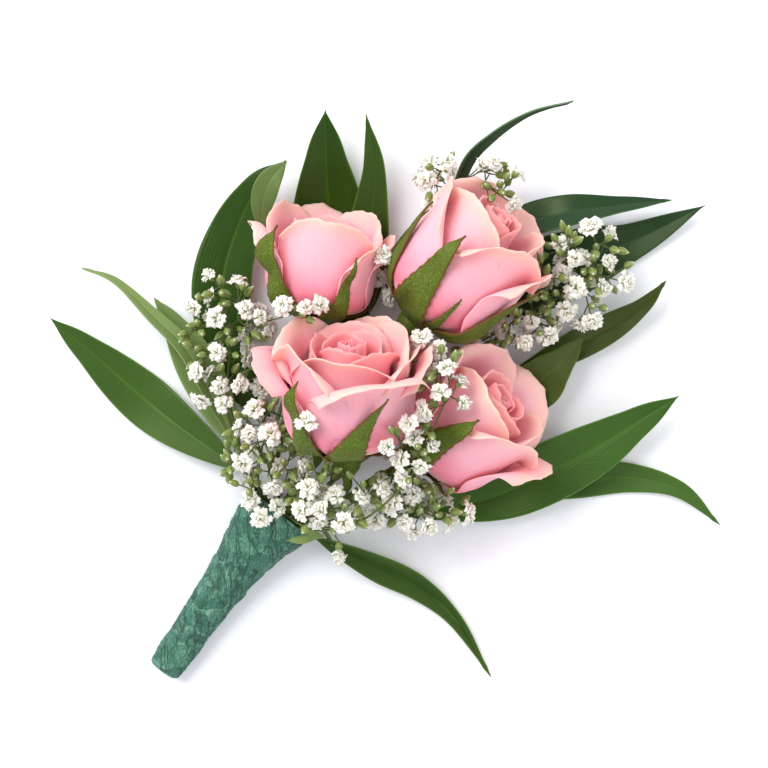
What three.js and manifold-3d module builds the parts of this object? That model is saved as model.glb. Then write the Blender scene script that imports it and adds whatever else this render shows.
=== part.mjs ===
// A boutonniere lying on its back: four pink spray roses, six sprigs of pointed green leaves and
// sprays of white gypsophila, their stems gathered and wrapped in crinkled teal floral tape.
// Millimetres and degrees, +Z up. The object lies on the plane z = 0, its stem end towards -X and -Y.
import * as THREE from "three";
import Module from "manifold-3d";

const wasm = await Module();
wasm.setup();

// Driving dimensions
const FRAME_SHIFT = new THREE.Vector3(0.15, 0.27, 0); // centres the whole outline on the origin
const PETAL_THICKNESS = 0.62;
const SEPAL_THICKNESS = 0.62;
const LEAF_THICKNESS = 0.62;
const ROSE_STEM_RADIUS = 1.0;
const LEAF_STEM_RADIUS = 0.6;
const SPRAY_STEM_RADIUS = 0.45;
const TWIG_RADIUS = 0.32;
const FLORET_RADIUS = 2.5;
const BUD_RADIUS = 0.95;
const HEAD_CLEARANCE = 0.35; // least gap between a gypsophila head or twig and its neighbours
const GOLDEN_ANGLE = 137.508;
const SIMPLIFY = 0.07; // faces that differ by less are joined
const MOST_SCRAP = 0.3; // cubic millimetres of loose scraps that a joined node may drop

// The petal's lean turns at these shares of its length: the belly, then the neck
const BELLY_AT = 0.42;
const NECK_AT = 0.72;
const PROFILE_STEPS = 100;
const PETAL_COLUMNS = 4;
const PETAL_ROWS = 3;
const INNER_PETALS = 2;
const HEART_STEPS = [6, 16, 27];

// The hip under each bloom, along the bloom's axis from the foot of its petals
const HIP_LENGTH = 7;
const HIP_TOP = -0.9;
const HIP_RADIUS = 3.2;
const SEPAL_CENTRE = 9; // sepals are draped over the petals as seen from this height on the axis
const SEPAL_CLEARANCE = 1.35;
const SEPAL_NEIGHBOURHOOD = radians(14);
const WIDE_SEPAL = 4; // a sepal with more half width than this bends round the bloom more closely

const PINK = 0xf7b4bd;
const SEPAL_GREEN = 0x5f7a35;
const LEAF_GREEN = 0x2f5f2b;
const SPRAY_WHITE = 0xe9eee0;
const TAPE_TEAL = 0x2f6657;

// Numbers and vectors
function radians(degrees) {
  return (degrees * Math.PI) / 180;
}

function smooth(value) {
  const share = Math.min(1, Math.max(0, value));
  return share * share * (3 - 2 * share);
}

function mix(from, to, share) {
  return from + (to - from) * share;
}

function vector(x, y, z) {
  return new THREE.Vector3(x, y, z);
}

function vectors(...points) {
  return points.map((point) => vector(...point));
}

// A seeded stream of numbers from 0 to 1
function seededRandom(seed) {
  let state = seed >>> 0;
  return () => {
    state = (state + 0x6d2b79f5) >>> 0;
    let mixed = Math.imul(state ^ (state >>> 15), state | 1);
    mixed ^= mixed + Math.imul(mixed ^ (mixed >>> 7), mixed | 61);
    return ((mixed ^ (mixed >>> 14)) >>> 0) / 4294967296;
  };
}

function smoothPath(points) {
  return new THREE.CatmullRomCurve3(points, false, "catmullrom", 0.5);
}

function along(path, count) {
  return Array.from({ length: count + 1 }, (_, i) => path.getPoint(i / count));
}

// Solids
function solidFrom(points, faces) {
  const vertProperties = new Float32Array(points.flatMap((p) => [p.x, p.y, p.z]));
  const triVerts = new Uint32Array(faces.flat());
  return new wasm.Manifold(new wasm.Mesh({ numProp: 3, vertProperties, triVerts }));
}

function unite(solids) {
  const joined = wasm.Manifold.union(solids).simplify(SIMPLIFY);
  const bodies = joined.decompose().sort((one, other) => other.volume() - one.volume());
  const scraps = bodies.slice(1).reduce((sum, body) => sum + body.volume(), 0);
  if (scraps > MOST_SCRAP) throw new Error(`${bodies.length} bodies, ${scraps} mm3 loose`);
  return bodies[0];
}

function meshOf(name, solid, colour, roughness) {
  const mesh = solid.getMesh();
  const geometry = new THREE.BufferGeometry();
  geometry.setAttribute("position", new THREE.BufferAttribute(mesh.vertProperties, 3));
  geometry.setIndex(new THREE.BufferAttribute(mesh.triVerts, 1));
  geometry.computeVertexNormals();
  const material = new THREE.MeshStandardMaterial({ color: colour, roughness, metalness: 0 });
  const made = new THREE.Mesh(geometry, material);
  made.name = name;
  return made;
}

// The unit normal of a grid of points, from its neighbours both ways
function gridNormal(grid, i, j) {
  const last = grid.length - 1;
  const end = grid[0].length - 1;
  const across = grid[Math.min(i + 1, last)][j].clone().sub(grid[Math.max(i - 1, 0)][j]);
  const up = grid[i][Math.min(j + 1, end)].clone().sub(grid[i][Math.max(j - 1, 0)]);
  return across.cross(up).normalize();
}

// A closed sheet of even thickness on a grid of points, both faces split into triangles alike
function sheet(grid, thickness) {
  const columns = grid.length;
  const rows = grid[0].length;
  const points = [];
  for (const side of [0.5, -0.5]) {
    for (let i = 0; i < columns; i++) {
      for (let j = 0; j < rows; j++) {
        points.push(grid[i][j].clone().addScaledVector(gridNormal(grid, i, j), side * thickness));
      }
    }
  }
  const front = (i, j) => i * rows + j;
  const back = (i, j) => columns * rows + i * rows + j;
  const faces = [];
  for (let i = 0; i + 1 < columns; i++) {
    for (let j = 0; j + 1 < rows; j++) {
      faces.push([front(i, j), front(i + 1, j), front(i + 1, j + 1)]);
      faces.push([front(i, j), front(i + 1, j + 1), front(i, j + 1)]);
      faces.push([back(i, j), back(i + 1, j + 1), back(i + 1, j)]);
      faces.push([back(i, j), back(i, j + 1), back(i + 1, j + 1)]);
    }
  }
  const border = [];
  for (let i = 0; i + 1 < columns; i++) border.push([i, 0, i + 1, 0]);
  for (let j = 0; j + 1 < rows; j++) border.push([columns - 1, j, columns - 1, j + 1]);
  for (let i = columns - 1; i > 0; i--) border.push([i, rows - 1, i - 1, rows - 1]);
  for (let j = rows - 1; j > 0; j--) border.push([0, j, 0, j - 1]);
  for (const [i, j, k, l] of border) {
    faces.push([front(i, j), back(i, j), back(k, l)]);
    faces.push([front(i, j), back(k, l), front(k, l)]);
  }
  return solidFrom(points, faces);
}

// A closed body through rings of points, all with the same count, turning the same way
function loft(rings) {
  const sides = rings[0].length;
  const points = rings.flat();
  const faces = [];
  for (let ring = 0; ring + 1 < rings.length; ring++) {
    for (let k = 0; k < sides; k++) {
      const here = ring * sides + k;
      const beside = ring * sides + ((k + 1) % sides);
      faces.push([here, beside, beside + sides]);
      faces.push([here, beside + sides, here + sides]);
    }
  }
  const closing = (rings.length - 1) * sides;
  for (let k = 1; k + 1 < sides; k++) {
    faces.push([0, k + 1, k]);
    faces.push([closing, closing + k, closing + k + 1]);
  }
  return solidFrom(points, faces);
}

// A tube through points, its radius at each point given by radiusAt(share of the way)
function tube(points, radiusAt, sides) {
  const rings = [];
  let across = null;
  points.forEach((point, i) => {
    const before = points[Math.max(i - 1, 0)];
    const after = points[Math.min(i + 1, points.length - 1)];
    const ahead = after.clone().sub(before).normalize();
    if (!across) {
      const aside = Math.abs(ahead.z) < 0.9 ? vector(0, 0, 1) : vector(1, 0, 0);
      across = aside.cross(ahead).normalize();
    }
    across.addScaledVector(ahead, -across.dot(ahead)).normalize();
    const other = ahead.clone().cross(across);
    const radius = radiusAt(i / (points.length - 1));
    const ring = [];
    for (let k = 0; k < sides; k++) {
      const turn = (2 * Math.PI * k) / sides;
      const spot = point.clone().addScaledVector(across, radius * Math.cos(turn));
      ring.push(spot.addScaledVector(other, radius * Math.sin(turn)));
    }
    rings.push(ring);
  });
  return loft(rings);
}

// A body of revolution round a frame's third axis, from [radius, height] pairs off the axis
function turned(profile, sides, place) {
  const rings = profile.map(([radius, height]) =>
    Array.from({ length: sides }, (_, k) => {
      const turn = (2 * Math.PI * k) / sides;
      return place(radius * Math.cos(turn), radius * Math.sin(turn), height);
    }),
  );
  return loft(rings);
}

// Roses

// One petal: the azimuth round the bloom, the radius of its belly, its length, half its width, and
// the lean of its wall from the bloom's axis at the neck and rim, with more lean at the rim's corners
function petal(azimuth, belly, length, halfWidth, neck, rim, corner, extra = {}) {
  const usual = {
    tip: 0.6, // how far the middle of the rim comes to a point
    drop: 0.22, // share of the length lost at the petal's sides
    foot: 1.5, // radius at which the petal starts
    footLean: 70,
    spiral: 0, // how much further out one side lies than the other
    wave: 0.3,
    phase: 3,
    late: false, // whether the solid bloom leaves the petal out, as the next ones cover it
  };
  return { azimuth, belly, length, halfWidth, neck, rim, corner, ...usual, ...extra };
}

// The inner petals, each a golden angle past the one before, from the heart outwards
function whorl({ count, start, belly, length, neck, rim, halfWidth, corner, seed }) {
  const random = seededRandom(seed);
  return Array.from({ length: count }, (_, i) => {
    const share = i / (count - 1);
    const azimuth = start + i * GOLDEN_ANGLE + mix(-8, 8, random());
    const extra = {
      tip: 0.2,
      drop: 0.06 + 0.1 * share,
      foot: 0.8 + 0.8 * share,
      footLean: 50 + 25 * share,
      spiral: 0.7 * (1 - 0.5 * share),
      wave: 0.25,
      phase: 6 * random(),
    };
    const at = (range) => mix(range[0], range[1], share);
    return petal(
      azimuth, at(belly), at(length), at(halfWidth), at(neck), at(rim), at(corner), extra,
    );
  });
}

// Radius and height along one line of a petal, at rows + 1 even shares of its length
function petalLine(shape, side, rows, start = 0) {
  const lineLength =
    shape.length * (1 - shape.drop * Math.abs(side) ** 3) +
    shape.tip * Math.exp(-((side / 0.22) ** 2));
  const rim = shape.rim + shape.corner * side * side;
  const lean = (share) =>
    shape.footLean +
    (2 - shape.footLean) * smooth(share / BELLY_AT) +
    (shape.neck - 2) * smooth((share - BELLY_AT) / (NECK_AT - BELLY_AT)) +
    (rim - shape.neck) * smooth((share - NECK_AT) / (1 - NECK_AT));
  const step = lineLength / PROFILE_STEPS;
  const radii = [shape.foot];
  const heights = [0];
  for (let i = 0; i < PROFILE_STEPS; i++) {
    const angle = radians(lean((i + 0.5) / PROFILE_STEPS));
    radii.push(radii[i] + Math.sin(angle) * step);
    heights.push(heights[i] + Math.cos(angle) * step);
  }
  const bellyStep = Math.round(BELLY_AT * PROFILE_STEPS);
  const stretch = (shape.belly - shape.foot) / (radii[bellyStep] - shape.foot);
  return Array.from({ length: rows + 1 }, (_, row) => {
    const i = Math.round(mix(start, 1, row / rows) * PROFILE_STEPS);
    const radius =
      i <= bellyStep
        ? shape.foot + (radii[i] - shape.foot) * stretch
        : shape.belly + radii[i] - radii[bellyStep];
    return [radius, heights[i]];
  });
}

// The petal's surface as a grid in the bloom's own frame
function petalGrid(shape, columns, rows, start = 0) {
  const grid = [];
  for (let column = 0; column <= columns; column++) {
    const side = (2 * column) / columns - 1;
    const line = petalLine(shape, side, rows, start);
    grid.push(
      line.map(([radius, height], row) => {
        const share = mix(start, 1, row / rows);
        const width =
          shape.halfWidth *
          (0.3 + 0.7 * smooth(share / 0.55)) *
          (1 - 0.12 * smooth((share - 0.7) / 0.3));
        const spread = side * Math.min(width / Math.max(radius, 2.2), 2.9);
        const ripple = Math.sin(6.2 * side + shape.phase) * smooth((share - 0.6) / 0.4);
        const lift = Math.cos(4.6 * side + 1.7 * shape.phase) * smooth((share - 0.7) / 0.3);
        const reach = radius + shape.spiral * side + shape.wave * ripple;
        const turn = radians(shape.azimuth) + spread;
        return vector(
          reach * Math.cos(turn), reach * Math.sin(turn), height + 0.8 * shape.wave * lift,
        );
      }),
    );
  }
  return grid;
}

// The bloom's frame: azimuth 0 faces up, and the third axis is the bloom's own
function bloomPlacer(rose) {
  const axis = rose.axis.clone().normalize();
  const front = vector(0, 0, 1).addScaledVector(axis, -axis.z).normalize();
  const flank = axis.clone().cross(front);
  return (x, y, z) =>
    rose.base
      .clone()
      .addScaledVector(front, x)
      .addScaledVector(flank, y)
      .addScaledVector(axis, z);
}

function placed(grid, place) {
  return grid.map((line) => line.map((point) => place(point.x, point.y, point.z)));
}

// The bloom's heart: a bowl round the feet of all its petals, and a bud that the inner ones top
function heartProfile(rose) {
  const widest = rose.outer.reduce((most, shape) => (shape.belly > most.belly ? shape : most));
  const least = Math.min(...rose.outer.map((shape) => shape.belly));
  const line = petalLine(widest, 0, PROFILE_STEPS);
  const bowl = HEART_STEPS.map((step) => [line[step][0] + 0.25, line[step][1] - 0.15]);
  const rim = line[HEART_STEPS.at(-1)][1];
  const top = rose.heart * widest.length;
  return [
    [1.2, -0.35],
    ...bowl,
    [0.72 * least, rim + 0.8],
    [0.7 * least, mix(rim, top, 0.7)],
    [0.25 * least, top],
  ];
}

function bloomSolid(rose) {
  const place = bloomPlacer(rose);
  const heart = turned(heartProfile(rose), 9, place);
  const inner = rose.inner.slice(-INNER_PETALS).map((shape) => petalGrid(shape, 3, 3, 0.3));
  const solid = rose.outer.filter((shape) => !shape.late);
  const outer = solid.map((shape) => petalGrid(shape, PETAL_COLUMNS, PETAL_ROWS, 0.2));
  const sheets = [...inner, ...outer].map((grid) => sheet(placed(grid, place), PETAL_THICKNESS));
  return unite([heart, ...sheets]);
}

// Sepals

// Points of the outer petals, as directions and distances from the sepals' centre on the axis
function petalReaches(rose) {
  const reaches = [];
  for (const shape of rose.outer) {
    for (const point of petalGrid(shape, 16, 20).flat()) {
      const away = point.clone().sub(vector(0, 0, SEPAL_CENTRE));
      reaches.push({ distance: away.length(), direction: away.normalize() });
    }
  }
  return reaches;
}

// How far the outer petals reach from the centre in and close round one direction
function reachTowards(reaches, direction) {
  const near = Math.cos(SEPAL_NEIGHBOURHOOD);
  let furthest = 0;
  for (const reach of reaches) {
    if (reach.direction.dot(direction) > near) furthest = Math.max(furthest, reach.distance);
  }
  return furthest;
}

// A sepal at an azimuth round the bloom: how far up it reaches, its half width, the curl of its
// tip away from the petals, and how many degrees it swings round on its way up
function sepal(azimuth, reachAngle, halfWidth, curl, sweep = 0) {
  return { azimuth, reachAngle, halfWidth, curl, sweep };
}

// A sepal's grid in the bloom's frame: lance-shaped, draped over the petals at a small clearance
function sepalGrid(sepal, reaches, columns, rows) {
  const startAngle = 14;
  const startDistance = SEPAL_CENTRE + 2.0;
  const directionAt = (column, row) => {
    const share = row / rows;
    const polar = radians(mix(startAngle, sepal.reachAngle, share));
    const widening = 0.55 + 0.45 * smooth(share / 0.25);
    const width = Math.max(0.3, sepal.halfWidth * widening * (1 - share ** 1.7));
    const side = (2 * column) / columns - 1;
    const lean = radians(sepal.azimuth + sepal.sweep * share * share);
    const turn = lean + (side * width) / (12 * Math.max(Math.sin(polar), 0.3));
    const level = Math.sin(polar);
    return vector(level * Math.cos(turn), level * Math.sin(turn), -Math.cos(polar));
  };
  const distances = [];
  for (let column = 0; column <= columns; column++) {
    const line = [];
    for (let row = 0; row <= rows; row++) {
      const found = reachTowards(reaches, directionAt(column, row));
      line.push(found === 0 ? (line[row - 1] ?? startDistance) : found + SEPAL_CLEARANCE);
    }
    distances.push(line);
  }
  return distances.map((line, column) =>
    line.map((distance, row) => {
      const share = row / rows;
      const draped = mix(startDistance, Math.max(distance, startDistance), smooth(share / 0.12));
      const curled = draped + sepal.curl * smooth((share - 0.7) / 0.3);
      const point = directionAt(column, row).multiplyScalar(curled);
      point.z += SEPAL_CENTRE;
      return point;
    }),
  );
}

function calyxSolid(rose) {
  const place = bloomPlacer(rose);
  const hip = turned(
    [
      [ROSE_STEM_RADIUS, -HIP_LENGTH],
      [2.9, -HIP_LENGTH + 2.8],
      [HIP_RADIUS, -2.4],
      [3.0, -1.2],
      [2.2, HIP_TOP],
    ],
    7,
    place,
  );
  const reaches = petalReaches(rose);
  const sepals = rose.sepals.map((sepal) => {
    const columns = sepal.halfWidth > WIDE_SEPAL ? 4 : 2;
    return sheet(placed(sepalGrid(sepal, reaches, columns, 6), place), SEPAL_THICKNESS);
  });
  const route = [...lane(rose.lane), ...rose.route, place(0, 0, -HIP_LENGTH - 2.5)];
  const path = smoothPath([...route, place(0, 0, -HIP_LENGTH + 0.6)]);
  const stem = tube(along(path, 12), () => ROSE_STEM_RADIUS, 5);
  return unite([stem, hip, ...sepals]);
}

// The taped handle

// Cross-sections from the stem end to the mouth: centre, half the width and half the height
const WRAP = [
  { x: -48.9, y: -61.4, width: 3.5, height: 3.4 },
  { x: -44.6, y: -55.4, width: 3.9, height: 3.7 },
  { x: -40.4, y: -49.6, width: 4.2, height: 4.0 },
  { x: -36.6, y: -44.2, width: 4.6, height: 4.3 },
  { x: -33.0, y: -39.0, width: 5.3, height: 4.8 },
  { x: -29.4, y: -34.2, width: 6.4, height: 5.5 },
  { x: -26.0, y: -30.0, width: 7.8, height: 6.3 },
  { x: -23.0, y: -26.4, width: 8.8, height: 6.9 },
];
const WRAP_WALL = 0.7;
const WRAP_FLAT = 0.5; // how much of the round underside is pressed flat on the surface
const WRAP_SIDES = 12;
const WRAP_RINGS = 12;
const WRAP_TURNS = 7;
const WRAP_OVERLAP = 0.3; // height of each tape edge over the turn below it
const WRAP_FLOOR = 0.05; // share of the way at which the closed end is solid

const wrapPath = smoothPath(WRAP.map((part) => vector(part.x, part.y, part.height - WRAP_FLAT)));

function wrapFrame(share) {
  const centre = wrapPath.getPoint(share);
  const ahead = wrapPath.getTangent(share);
  const right = vector(ahead.y, -ahead.x, 0).normalize();
  const spot = share * (WRAP.length - 1);
  const index = Math.min(Math.floor(spot), WRAP.length - 2);
  const width = mix(WRAP[index].width, WRAP[index + 1].width, spot - index);
  const height = mix(WRAP[index].height, WRAP[index + 1].height, spot - index);
  return { centre, right, width, height };
}

function wrapRing(share, inset, swell, lowest) {
  const { centre, right, width, height } = wrapFrame(share);
  return Array.from({ length: WRAP_SIDES }, (_, k) => {
    const turn = (2 * Math.PI * k) / WRAP_SIDES;
    const out = swell(turn, share) - inset;
    const point = centre.clone().addScaledVector(right, -(width + out) * Math.cos(turn));
    point.z = Math.max(lowest, point.z + (height + out) * Math.sin(turn));
    return point;
  });
}

// Each turn of tape rises over its width and steps down at its edge
function tapeSwell(turn, share) {
  const laid = share * WRAP_TURNS - turn / (2 * Math.PI);
  return WRAP_OVERLAP * (laid - Math.floor(laid) - 0.5);
}

function wrapSolid() {
  const outer = [wrapRing(0, 1.2, tapeSwell, 0)];
  for (let step = 0; step <= WRAP_RINGS; step++) {
    outer.push(wrapRing(mix(0.02, 1, step / WRAP_RINGS), 0, tapeSwell, 0));
  }
  const inner = [WRAP_FLOOR, 0.3, 0.55, 0.8, 1].map((share) =>
    wrapRing(share, WRAP_WALL, () => 0, WRAP_WALL),
  );
  const beyond = wrapPath.getTangent(1).multiplyScalar(2);
  inner.push(inner.at(-1).map((point) => point.clone().add(beyond)));
  return loft(outer).subtract(loft(inner));
}

// Where a stem runs inside the wrap: across and up from its middle, at its cut end and at the mouth
function lane({ from, cut, mouth }) {
  const points = [];
  for (const share of [from, mix(from, 1, 0.35), mix(from, 1, 0.7), 1]) {
    const { centre, right } = wrapFrame(share);
    const part = (share - from) / (1 - from);
    const point = centre.clone().addScaledVector(right, mix(cut[0], mouth[0], part));
    point.z += mix(cut[1], mouth[1], part);
    points.push(point);
  }
  return points;
}

// Leaf sprigs

function leaf(points, halfWidth, rollStart = 0, rollEnd = 0, fold = 0.22) {
  return { points: vectors(...points), halfWidth, rollStart, rollEnd, fold };
}

// A blade along its midrib, widest below the middle, folded along the midrib and rolled about it
function leafGrid(blade, columns, rows) {
  const path = smoothPath(blade.points);
  const grid = Array.from({ length: columns + 1 }, () => []);
  for (let row = 0; row <= rows; row++) {
    const share = row / rows;
    const centre = path.getPoint(share);
    const ahead = path.getTangent(share);
    const level = vector(ahead.y, -ahead.x, 0).normalize();
    const roll = radians(mix(blade.rollStart, blade.rollEnd, share));
    const right = level.applyAxisAngle(ahead, roll);
    const up = right.clone().cross(ahead);
    const width = Math.max(0.35, blade.halfWidth * Math.sin(Math.PI * share ** 0.8) ** 1.1);
    for (let column = 0; column <= columns; column++) {
      const side = (2 * column) / columns - 1;
      const point = centre.clone().addScaledVector(right, side * width);
      point.addScaledVector(up, blade.fold * Math.abs(side) * width);
      point.z = Math.max(point.z, LEAF_THICKNESS / 2); // pressed flat where it meets the surface
      grid[column].push(point);
    }
  }
  return grid;
}

function sprigSolid(sprig) {
  const path = smoothPath([...lane(sprig.lane), ...sprig.route]);
  const stem = tube(along(path, 11), (share) => LEAF_STEM_RADIUS * (1 - 0.25 * share), 5);
  const blades = sprig.leaves.map((blade) => sheet(leafGrid(blade, 2, 6), LEAF_THICKNESS));
  return unite([stem, ...blades]);
}

// Gypsophila

// Everything that heads and twigs must stay clear of: points with a radius, and their owner
const obstacles = [];

function block(owner, points, radius) {
  for (const point of points) obstacles.push({ owner, point, radius });
}

function isClear(owner, point, radius) {
  return obstacles.every((obstacle) => {
    if (obstacle.owner === owner) return true;
    return obstacle.point.distanceTo(point) > obstacle.radius + radius + HEAD_CLEARANCE;
  });
}

// Heads are thrown one by one into each cluster and kept where they touch nothing else. Each twig
// starts from the nearest joint of the spray, and its own elbow is a joint for later twigs.
function growHeads(spray) {
  const random = seededRandom(spray.seed);
  const joints = spray.stemPoints.slice(8);
  const heads = [];
  for (const cluster of spray.clusters) {
    const wanted = cluster.florets + cluster.buds;
    let kept = 0;
    for (let attempt = 0; attempt < 80 * wanted && kept < wanted; attempt++) {
      const throwAt = vector(2 * random() - 1, 2 * random() - 1, 2 * random() - 1);
      const size = mix(0.85, 1.1, random());
      if (throwAt.length() > 1) continue;
      const isFloret = kept < cluster.florets;
      const radius = (isFloret ? FLORET_RADIUS : BUD_RADIUS) * size;
      const spot = throwAt.multiply(cluster.spread).add(cluster.centre);
      const crowded = heads.some(
        (head) => head.spot.distanceTo(spot) < (head.radius + radius) * (isFloret ? 0.9 : 1.0),
      );
      if (crowded || !isClear(spray.name, spot, radius)) continue;
      const joint = joints.reduce((best, candidate) =>
        candidate.distanceTo(spot) < best.distanceTo(spot) ? candidate : best,
      );
      const span = joint.distanceTo(spot);
      const facing = spot.clone().sub(joint).normalize();
      facing.z += 0.5;
      facing.normalize();
      const neck = spot.clone().addScaledVector(facing, isFloret ? -1.5 : -1.2 * radius);
      const checks = [0.3, 0.5, 0.7, 0.9].map((share) => joint.clone().lerp(neck, share));
      if (!checks.every((point) => isClear(spray.name, point, TWIG_RADIUS))) continue;
      heads.push({ joint, neck, spot, radius, size, isFloret, facing });
      if (span > 2.5) joints.push(joint.clone().lerp(neck, 0.5));
      kept += 1;
    }
  }
  return heads;
}

function placerFor(spot, facing) {
  const aside = Math.abs(facing.z) < 0.9 ? vector(0, 0, 1) : vector(1, 0, 0);
  const across = aside.cross(facing).normalize();
  const other = facing.clone().cross(across);
  return (x, y, z) =>
    spot.clone().addScaledVector(across, x).addScaledVector(other, y).addScaledVector(facing, z);
}

function ringAt(place, radii, height, turnBy = 0) {
  return radii.map((radius, k) => {
    const turn = turnBy + (2 * Math.PI * k) / radii.length;
    return place(radius * Math.cos(turn), radius * Math.sin(turn), height);
  });
}

// The band of triangles between a ring of few points and one of at least as many round it
function bridge(few, fewStart, many, manyStart) {
  const faces = [];
  for (let k = 0; k < many; k++) {
    const here = Math.floor((k * few) / many);
    const next = Math.floor(((k + 1) * few) / many) % few;
    const beside = (k + 1) % many;
    faces.push([fewStart + here, manyStart + beside, manyStart + k]);
    if (next !== here) faces.push([fewStart + here, fewStart + next, manyStart + beside]);
  }
  return faces;
}

// One head on its twig: a double floret is a ten-pointed star, a bud a small egg
function headSolid(head) {
  const place = placerFor(head.spot, head.facing);
  const atJoint = placerFor(head.joint, head.facing);
  const atNeck = placerFor(head.neck, head.facing);
  const twig = Array(3).fill(TWIG_RADIUS);
  const petals = Array.from({ length: 10 }, (_, k) => (k % 2 ? 0.62 : 1) * head.radius);
  const round = Array(4).fill(head.radius);
  const rings = [
    ringAt(atJoint, twig.map((radius) => 0.75 * radius), 0),
    ringAt(atNeck, twig, 0),
    ringAt(place, head.isFloret ? petals : round, head.isFloret ? 0.4 : 0),
  ];
  const points = [...rings.flat(), place(0, 0, head.isFloret ? 1.0 : 1.3 * head.radius)];
  const faces = [[0, 2, 1], ...bridge(3, 0, 3, 3), ...bridge(3, 3, rings[2].length, 6)];
  const tip = points.length - 1;
  for (let k = 0; k < rings[2].length; k++) {
    faces.push([6 + k, 6 + ((k + 1) % rings[2].length), tip]);
  }
  return solidFrom(points, faces);
}

function spraySolid(spray, heads) {
  const stem = tube(spray.stemPoints, (share) => SPRAY_STEM_RADIUS * (1 - 0.2 * share), 3);
  return unite([stem, ...heads.map(headSolid)]);
}

// The pieces as they lie in this boutonniere

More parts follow.
